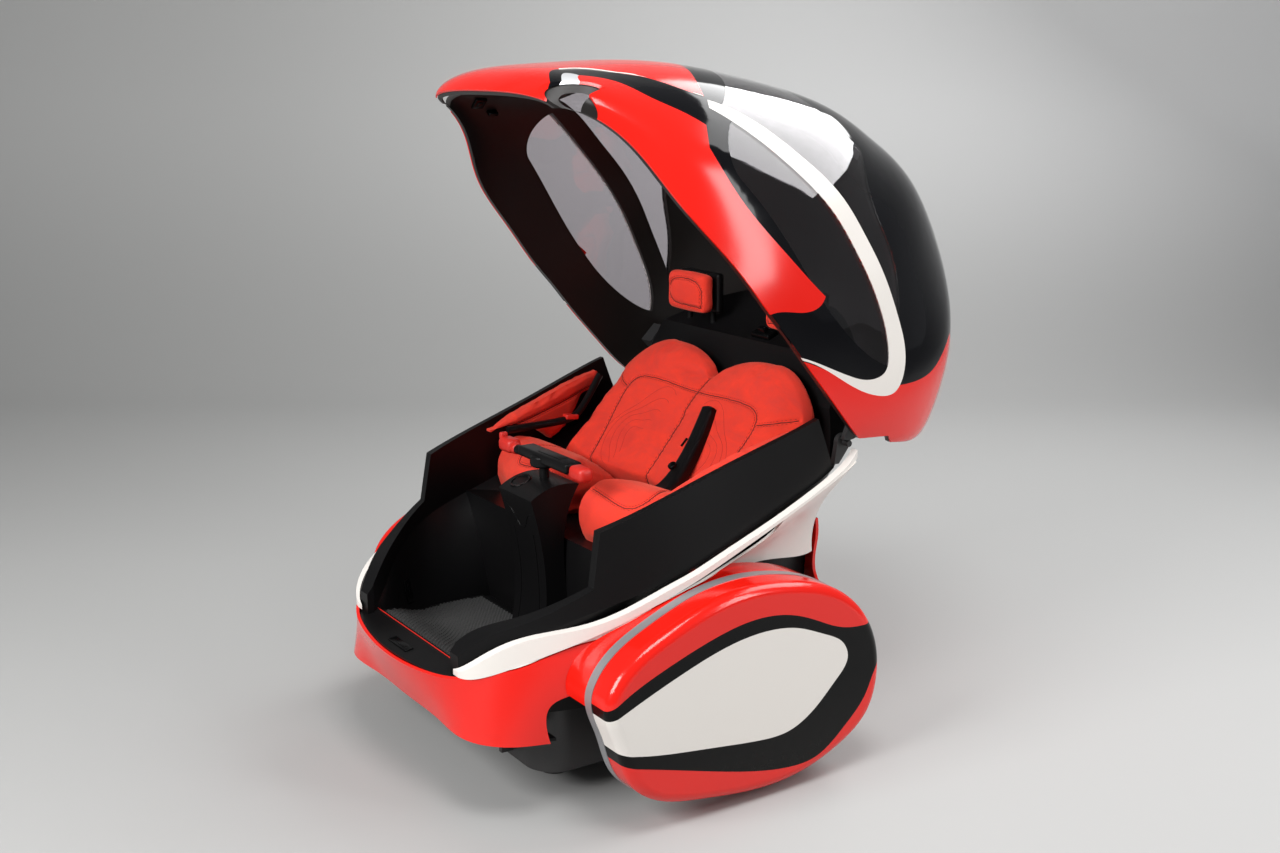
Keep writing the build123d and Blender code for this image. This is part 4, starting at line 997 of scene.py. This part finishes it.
@dataclass
class CabinFittings:
    """Small fittings of the cabin: latches, buckles, the cup ring, the yoke's pads and a belt guide."""
    shop: Workshop
    guide_radius: float = 0.012
    buckle: Point = (0.030, 0.046, 0.016)
    cup_radius: float = 0.033
    cup_centre: Point = (-0.046, 0.046, 0.764)
    cup_facing: Point = (0.0, -0.36, 0.93)
    line_radius: float = 0.0012
    shelf_slope: Point = (0.0, -0.42, 0.91)
    wall_facing: Point = (0.84, 0.50, 0.20)

    def build(self) -> None:
        """Make the fittings on the seats, the console, the shelf and the tub wall."""
        self._far_belt()
        self._belt_button()
        self._cup_ring()
        self._console_lines()
        self._yoke_cover()
        self._shelf_latch()
        self._wall_latch()

    def _trim(self, name: str, shape: bmesh.types.BMesh) -> None:
        """Keep a small satin black fitting of the body."""
        self.shop.piece(name, shape, "body", SATIN_BLACK, "black_trim")

    def _far_belt(self) -> None:
        """Lay the belt guide and its buckle beside the far seat."""
        low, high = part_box("side_bolsters")
        side = high[0] - 0.100
        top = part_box("seat_cushions")[1][2] + 0.012
        route = [(-side - 0.032, high[1] - 0.025, high[2] - 0.030), (-side - 0.010, 0.0, top + 0.045),
                 (-side, -0.045, top + 0.008), (-side, -0.10, top),
                 (-side - 0.005, low[1] + 0.09, top - 0.004)]
        self.shop.thread("far_belt_guide", [rounded_line(route)], self.guide_radius, "body", TRIM_BLACK,
                         "black_trim")
        shape = slab(self.buckle, (-side, -0.060, top + 0.012), 0.004, (0.0, 0.1, 1.0))
        self.shop.piece("far_buckle", shape, "body", GRIP_RED, "black_trim")

    def _belt_button(self) -> None:
        """Set a round button in the foot of the near belt guide."""
        foot = Vector(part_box("belt_guide")[0]) + Vector((0.082, 0.095, 0.082))
        shape = drum(0.013, 0.010, foot, (0.0, -0.58, 0.82), 0.002)
        slab((0.007, 0.030, 0.006), foot + Vector((-0.018, 0.055, 0.058)), 0.002, (0.0, -0.70, 0.71),
             into=shape)
        self._trim("belt_button", shape)

    def _cup_ring(self) -> None:
        """Round the cup holder in the console's head with a raised ring over a dark well."""
        centre = Vector(self.cup_centre) + Vector((0.0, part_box("centre_console")[0][1], 0.0))
        shape = drum(self.cup_radius, 0.006, centre, self.cup_facing, 0.002)
        lids = [face for face in shape.faces
                if len(face.verts) > 12 and face.normal.dot(Vector(self.cup_facing)) > 0.9]
        bmesh.ops.inset_region(shape, faces=lids, thickness=0.005, depth=0.0)
        bmesh.ops.inset_region(shape, faces=lids, thickness=0.001, depth=-0.004)
        self._trim("cup_ring", shape)

    def _console_lines(self) -> None:
        """Mark the seams of the console's front moulding."""
        cover = search_tree(self.shop.nodes["centre_console"].data)
        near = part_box("centre_console")[0][1] - 0.05
        brow = ((-0.088, 0.700), (-0.045, 0.690), (-0.015, 0.640),
                (0.015, 0.640), (0.045, 0.690), (0.088, 0.700))
        flute = ((0.055, 0.630), (0.048, 0.480), (0.060, 0.340))
        strands = []
        for line in (brow, [(-x, z) for x, z in flute], flute):
            smooth = fill_in(rounded_line([(x, near, z) for x, z in line]), 0.008)
            hits = [cover.ray_cast(place, Vector(REARWARD), SEARCH_REACH)[0] for place in smooth]
            strands.append([tuple(place) for place in hits if place is not None])
        self.shop.thread("console_lines", strands, self.line_radius, "body", SATIN_BLACK, "black_trim")

    def _yoke_cover(self) -> None:
        """Cover the yoke's bar with a moulded hand rest and pad both grips."""
        low, high = (Vector(corner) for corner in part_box("yoke_body"))
        middle = (low + high) / 2
        shape = slab((0.270, 0.056, 0.030), (0.030, middle.y, high.z - 0.006), 0.008)
        slab((0.120, 0.030, 0.006), (0.050, middle.y, high.z + 0.008), 0.0025, into=shape)
        self.shop.piece("yoke_cover", shape, "yoke", TRIM_BLACK, "black_trim")
        shape = bmesh.new()
        for side in SIDES:
            slab((0.070, 0.046, 0.042), (side * (high.x - 0.012), middle.y, middle.z + 0.004), 0.014,
                 into=shape)
        slab((0.016, 0.024, 0.022), (low.x - 0.018, middle.y - 0.004, middle.z + 0.026), 0.005, into=shape)
        self.shop.piece("grip_pads", shape, "yoke", GRIP_RED, "red_paint")

    def _shelf_latch(self) -> None:
        """Put the canopy's latch on the shelf behind the backrest."""
        low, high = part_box("rear_bulkhead")
        centre = Vector((0.085, low[1] + 0.066, high[2] - 0.093))
        shape = slab((0.085, 0.040, 0.020), centre, 0.004, self.shelf_slope)
        slab((0.030, 0.018, 0.030), centre + Vector((0.0, -0.004, 0.010)), 0.003, self.shelf_slope,
             into=shape)
        self._trim("shelf_latch", shape)

    def _wall_latch(self) -> None:
        """Put a release handle low on the far wall of the footwell."""
        shape = slab((0.030, 0.075, 0.010), (-0.4045, -0.6675, 0.3640), 0.003, self.wall_facing)
        slab((0.014, 0.045, 0.012), (-0.4030, -0.6665, 0.3645), 0.003, self.wall_facing, into=shape)
        self._trim("wall_latch", shape)


@dataclass
class CanopyFittings:
    """Small fittings of the canopy: pinstripes, the sensor blister, the header button and its pull tab."""
    shop: Workshop
    stripe_radius: float = 0.0022
    blister: Point = (0.078, 0.115, 0.0135)
    blister_place: float = -0.165
    blister_depth: float = 0.0065
    button_facing: Point = (0.69, 0.07, -0.72)
    tab_facing: Point = (0.75, 0.09, -0.66)

    def build(self) -> None:
        """Make the fittings on the skin and inside the header."""
        cover = search_tree(self.shop.nodes["canopy_face_panel"].data)
        knots = ((0.202, -0.473, 1.912), (0.267, -0.347, 1.905),
                 (0.305, -0.286, 1.895), (0.404, -0.164, 1.842))
        strands = []
        for side in SIDES:
            line = fill_in(rounded_line([(side * x, y, z) for x, y, z in knots]), 0.01)
            laid = [cover.find_nearest(place)[0] for place in line]
            strands.append([tuple(place) for place in laid if place is not None])
        self.shop.thread("pinstripes", strands, self.stripe_radius, "canopy", WHITE_PAINT, "white_paint")
        self._blister(cover)
        self._header()

    def _blister(self, cover: BVHTree) -> None:
        """Set the low sensor blister with its two clear eyes on the crown of the face panel."""
        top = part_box("canopy_face_panel")[1][2]
        for name, off, size, finish, slot in (
                ("sensor_blister", 0.0, self.blister, ROOF_BLACK, "black_gloss"),
                ("sensor_eye_front", -0.045, (0.050, 0.030, 0.0142), LAMP_LENS, "lamp_lens"),
                ("sensor_eye_rear", 0.045, (0.056, 0.040, 0.0142), LAMP_LENS, "lamp_lens")):
            shape = bmesh.new()
            bmesh.ops.create_uvsphere(shape, u_segments=48, v_segments=24, radius=1.0)
            bmesh.ops.scale(shape, verts=shape.verts, vec=size)
            place = Vector((0.0, self.blister_place + off, top))
            hit = cover.ray_cast(place + Vector((0.0, 0.0, 0.1)), Vector(DOWN), SEARCH_REACH)[0] or place
            rest = min(hit.z - self.blister_depth, top - size[2])
            bmesh.ops.translate(shape, verts=shape.verts, vec=(place.x, place.y, rest))
            self.shop.piece(name, shape, "canopy", finish, slot)

    def _header(self) -> None:
        """Set the button and the pull tab in the header's lining."""
        shape = slab((0.040, 0.040, 0.014), (-0.396, -0.388, 1.816), 0.004, self.button_facing)
        drum(0.010, 0.018, (-0.394, -0.388, 1.814), self.button_facing, 0.002, into=shape)
        self.shop.piece("header_button", shape, "canopy", SATIN_BLACK, "black_trim")
        shape = slab((0.034, 0.012, 0.026), (-0.424, -0.330, 1.788), 0.004, self.tab_facing)
        self.shop.piece("header_tab", shape, "canopy", SATIN_BLACK, "black_trim")


@dataclass
class Tyre:
    """One tyre with a grooved tread, and the bolts of its rim."""
    shop: Workshop
    side: str
    steps: int = 144
    groove: float = 0.0035
    groove_depth: float = 0.005
    shoulder: float = 0.016
    ribs: tuple[float, ...] = (0.30, 0.62)
    cut_every: int = 6
    bolts: int = 5
    bolt_circle: float = 0.055
    bolt_radius: float = 0.009
    bolt_height: float = 0.012

    def build(self) -> None:
        """Spin the tyre's section, sink its grooves and set the bolts."""
        low, high = (Vector(corner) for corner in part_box(f"tyre_{self.side}"))
        middle = (low + high) / 2
        half, outer = (high.x - low.x) / 2, (high.z - low.z) / 2
        rim_low, rim_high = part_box(f"wheel_rim_{self.side}")
        inner = (rim_high[2] - rim_low[2]) / 2 + 0.0005
        shape = bmesh.new()
        flat = half - self.shoulder
        section = [(-half * 0.92, inner), (-half, inner + 0.022), (-half * 0.97, outer - 0.020),
                   (-half * 0.86, outer - 0.006), (-flat, outer)]
        for rib in self.ribs[::-1]:
            section += [(-flat * rib - self.groove / 2, outer), (-flat * rib + self.groove / 2, outer)]
        section += [(-across, radius) for across, radius in section[::-1]]
        knots = [shape.verts.new(middle + Vector((across, 0.0, radius))) for across, radius in section]
        for first, last in zip(knots, knots[1:] + knots[:1]):
            shape.edges.new((first, last))
        bmesh.ops.spin(shape, geom=list(shape.verts) + list(shape.edges), cent=middle, axis=(1.0, 0.0, 0.0),
                       angle=math.tau, steps=self.steps, use_merge=True, use_duplicate=False)
        bmesh.ops.remove_doubles(shape, verts=shape.verts, dist=1e-6)
        bmesh.ops.recalc_face_normals(shape, faces=list(shape.faces))
        sunk = [face for face in shape.faces if self._is_groove(face, middle, flat, outer)]
        bmesh.ops.inset_region(shape, faces=sunk, thickness=0.0006, depth=-self.groove_depth)
        tyre = self.shop.piece(f"tread_{self.side}", shape, f"wheel_{self.side}", TYRE_BLACK, "tyre_rubber")
        for face in tyre.data.polygons:
            face.use_smooth = abs(face.normal.x) > 0.3
        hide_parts(f"tyre_{self.side}")
        self._bolts(middle, Vector(rim_low), Vector(rim_high))

    def _is_groove(self, face: bmesh.types.BMFace, middle: Vector, flat: float, outer: float) -> bool:
        """Tell whether a face of the tread belongs to a round groove or to a cut across a shoulder."""
        centre = face.calc_center_median() - middle
        across = abs(centre.x)
        if Vector((centre.y, centre.z)).length < outer - 0.002:
            return False
        if any(abs(across - flat * rib) < self.groove / 2 for rib in self.ribs):
            return True
        step = round((math.atan2(centre.z, centre.y) % math.tau) / math.tau * self.steps - 0.5)
        first = 0 if centre.x > 0 else self.cut_every // 2
        return step % self.cut_every == first and flat * self.ribs[-1] < across < flat

    def _bolts(self, middle: Vector, low: Vector, high: Vector) -> None:
        """Ring the hub with bolts on its inner side, where it shows from below."""
        inner_face = low.x if middle.x > 0 else high.x
        shape = bmesh.new()
        for index in range(self.bolts):
            turn = math.tau * index / self.bolts
            centre = (inner_face + math.copysign(self.bolt_height / 2, middle.x),
                      middle.y + math.cos(turn) * self.bolt_circle,
                      middle.z + math.sin(turn) * self.bolt_circle)
            drum(self.bolt_radius, self.bolt_height, centre, (1.0, 0.0, 0.0), 0.0015, sides=6, into=shape)
        self.shop.piece(f"hub_bolts_{self.side}", shape, f"wheel_{self.side}", COATED_METAL, "coated_metal")


@dataclass
class Underside:
    """Bolts and cooling ribs of the battery under the floor."""
    shop: Workshop
    ribs: int = 9
    rib: Point = (0.012, 0.50, 0.004)
    rib_spread: float = 0.80
    bolt_spread: float = 0.46
    bolt_places: tuple[float, ...] = (0.06, 0.35, 0.65, 0.94)

    def build(self) -> None:
        """Lay the ribs under the battery and bolt its corners."""
        low, high = (Vector(corner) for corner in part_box("battery_pack"))
        middle = (low + high) / 2
        shape = bmesh.new()
        for index in range(self.ribs):
            across = (index / (self.ribs - 1) - 0.5) * (high.x - low.x) * self.rib_spread
            slab(self.rib, (middle.x + across, middle.y, low.z - self.rib[2] / 4), 0.0012, into=shape)
        self.shop.piece("battery_ribs", shape, "body", BARE_ALLOY, "bare_alloy")
        shape = bmesh.new()
        for side in SIDES:
            for part in self.bolt_places:
                centre = (middle.x + side * (high.x - low.x) * self.bolt_spread,
                          low.y + (high.y - low.y) * part, low.z)
                drum(0.009, 0.007, centre, DOWN, 0.001, sides=6, into=shape)
        self.shop.piece("battery_bolts", shape, "body", COATED_METAL, "coated_metal")


# ---------------------------------------------------------------- studio
@dataclass
class Studio:
    """A pale cove, soft lights and the camera."""
    azimuth: float = 56.05
    pitch: float = 13.37
    lens: float = 42.19
    eye: Point = (3.587, -2.502, 1.910)
    cove_depth: float = 4.2
    cove_radius: float = 2.6
    cove_height: float = 7.0
    cove_half_width: float = 14.0
    cove_front: float = 9.0
    # The paper's colours carry painted light: paler to the right and up the wall.
    floor_painted_light: tuple[Colour, Colour] = ((0.42, 0.42, 0.412), (0.44, 0.44, 0.435))
    wall_painted_light: tuple[Colour, Colour] = ((0.55, 0.55, 0.54), (0.88, 0.88, 0.875))
    painted_light_sides: tuple[float, float] = (-3.5, 4.0)
    painted_light_heights: tuple[float, float] = (0.0, 1.8)
    glow: float = 0.20
    glow_colour: Colour = (0.95, 0.97, 1.0)

    def heading(self) -> Vector:
        """The level direction in which the camera looks."""
        turn = math.radians(self.azimuth)
        return Vector((-math.sin(turn), math.cos(turn), 0.0))

    def build(self) -> None:
        """Make the cove, the lights, the world and the camera."""
        self._cove()
        self._lights()
        self._camera()

    def _cove(self) -> None:
        """Sweep the floor and backdrop as one sheet and mark it as the stage."""
        ahead = self.heading()
        side = Vector((ahead.y, -ahead.x, 0.0))
        shape = bmesh.new()
        start = ahead * -self.cove_front - side * self.cove_half_width
        first = shape.verts.new(start)
        last = shape.verts.new(start + ahead * (self.cove_front + self.cove_depth))
        shape.edges.new((first, last))
        pivot = last.co + Vector((0.0, 0.0, self.cove_radius))
        bmesh.ops.spin(shape, geom=[last], cent=pivot, axis=side, angle=math.radians(90), steps=24,
                       use_duplicate=False)
        top = max(shape.verts, key=lambda vert: vert.co.z)
        wall = bmesh.ops.extrude_vert_indiv(shape, verts=[top])["verts"]
        bmesh.ops.translate(shape, verts=wall, vec=(0.0, 0.0, self.cove_height))
        rim = bmesh.ops.extrude_edge_only(shape, edges=list(shape.edges))["geom"]
        moved = [item for item in rim if isinstance(item, bmesh.types.BMVert)]
        bmesh.ops.translate(shape, verts=moved, vec=side * 2 * self.cove_half_width)
        bmesh.ops.recalc_face_normals(shape, faces=list(shape.faces))
        mesh = bpy.data.meshes.new("studio_cove")
        shape.to_mesh(mesh)
        shape.free()
        mesh.shade_smooth()
        cove = bpy.data.objects.new("studio_cove", mesh)
        bpy.context.scene.collection.objects.link(cove)
        mesh.materials.append(self._paper(side))

    def _paper(self, side: Vector) -> bpy.types.Material:
        """Make the cove's paper, with painted light: it grows paler to the right and up the wall."""
        material = bpy.data.materials.new("studio_paper")
        material.use_nodes = True
        sketch = Sketch(material.node_tree)
        output = sketch.add("OutputMaterial")
        paper = sketch.add("BsdfPrincipled", Roughness=0.85, Specular_IOR_Level=0.2)
        place = sketch.add("TexCoord").outputs["Object"]
        across = sketch.add("VectorMath", {"operation": "DOT_PRODUCT"}, Vector=place)
        across.inputs[1].default_value = (side.x, side.y, 0.0)
        level = sketch.add("SeparateXYZ", Vector=place).outputs["Z"]
        shares = [sketch.add("MapRange", {"interpolation_type": "SMOOTHSTEP"}, Value=value, From_Min=start,
                             From_Max=end).outputs[0]
                  for value, (start, end) in ((across.outputs["Value"], self.painted_light_sides),
                                              (level, self.painted_light_heights))]
        low = sketch.mix(shares[0], *self.floor_painted_light)
        high = sketch.mix(shares[0], *self.wall_painted_light)
        sketch.join(sketch.mix(shares[1], low, high), paper.inputs["Base Color"])
        sketch.join(paper.outputs["BSDF"], output.inputs["Surface"])
        return material

    def _lamp(self, name: str, place: Point, aim: Point, size: tuple[float, float], power: float) -> None:
        """Hang one soft box.

        Args:
            name: The lamp's name.
            place: Where it hangs.
            aim: The point that it faces.
            size: Its width and height.
            power: Its power in watts.
        """
        data = bpy.data.lights.new(name, "AREA")
        data.shape = "RECTANGLE"
        data.size, data.size_y = size
        data.energy = power
        lamp = bpy.data.objects.new(name, data)
        lamp.location = place
        lamp.rotation_euler = (Vector(aim) - Vector(place)).to_track_quat("-Z", "Y").to_euler()
        bpy.context.scene.collection.objects.link(lamp)

    def _lights(self) -> None:
        """Hang the soft boxes and set the world."""
        self._lamp("rear_box", (0.2, 3.7, 4.5), (0.0, 0.3, 1.0), (6.0, 2.6), 270.0)
        self._lamp("front_box", (0.9, -4.6, 3.2), (0.0, 0.0, 0.8), (2.6, 2.2), 260.0)
        self._lamp("side_box", (4.4, 2.2, 2.7), (0.3, 0.2, 1.1), (1.0, 3.0), 80.0)
        self._lamp("top_box", (2.0, -1.0, 4.8), (0.1, -0.2, 0.6), (1.6, 1.6), 90.0)
        world = bpy.data.worlds.new("studio_world")
        bpy.context.scene.world = world
        world.use_nodes = True
        sketch = Sketch(world.node_tree)
        output = sketch.add("OutputWorld")
        glow = sketch.add("Background", Strength=self.glow, Color=self.glow_colour)
        sketch.join(glow.outputs["Background"], output.inputs["Surface"])

    def _camera(self) -> None:
        """Set the camera and the view transform."""
        data = bpy.data.cameras.new("studio_camera")
        data.lens = self.lens
        data.sensor_width = 36.0
        camera = bpy.data.objects.new("studio_camera", data)
        camera.location = self.eye
        camera.rotation_euler = (math.radians(90.0 - self.pitch), 0.0, math.radians(self.azimuth))
        bpy.context.scene.collection.objects.link(camera)
        bpy.context.scene.camera = camera
        bpy.context.scene.view_settings.view_transform = "Standard"


def main() -> None:
    """Load the frame, build and dress every sub-assembly, and light it."""
    logging.basicConfig(level=logging.INFO, format="%(message)s")
    for leftover in list(bpy.data.objects):
        bpy.data.objects.remove(leftover)
    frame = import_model()
    shop = Workshop(frame["nodes"], FinishBook())
    for assembly in ASSEMBLIES:
        assembly.dress(shop)
    for maker in (Bench(shop), Matting(shop), CabinFittings(shop), CanopyFittings(shop), Tyre(shop, "left"),
                  Tyre(shop, "right"), Underside(shop)):
        maker.build()
    Studio().build()


if __name__ == "__main__":
    main()
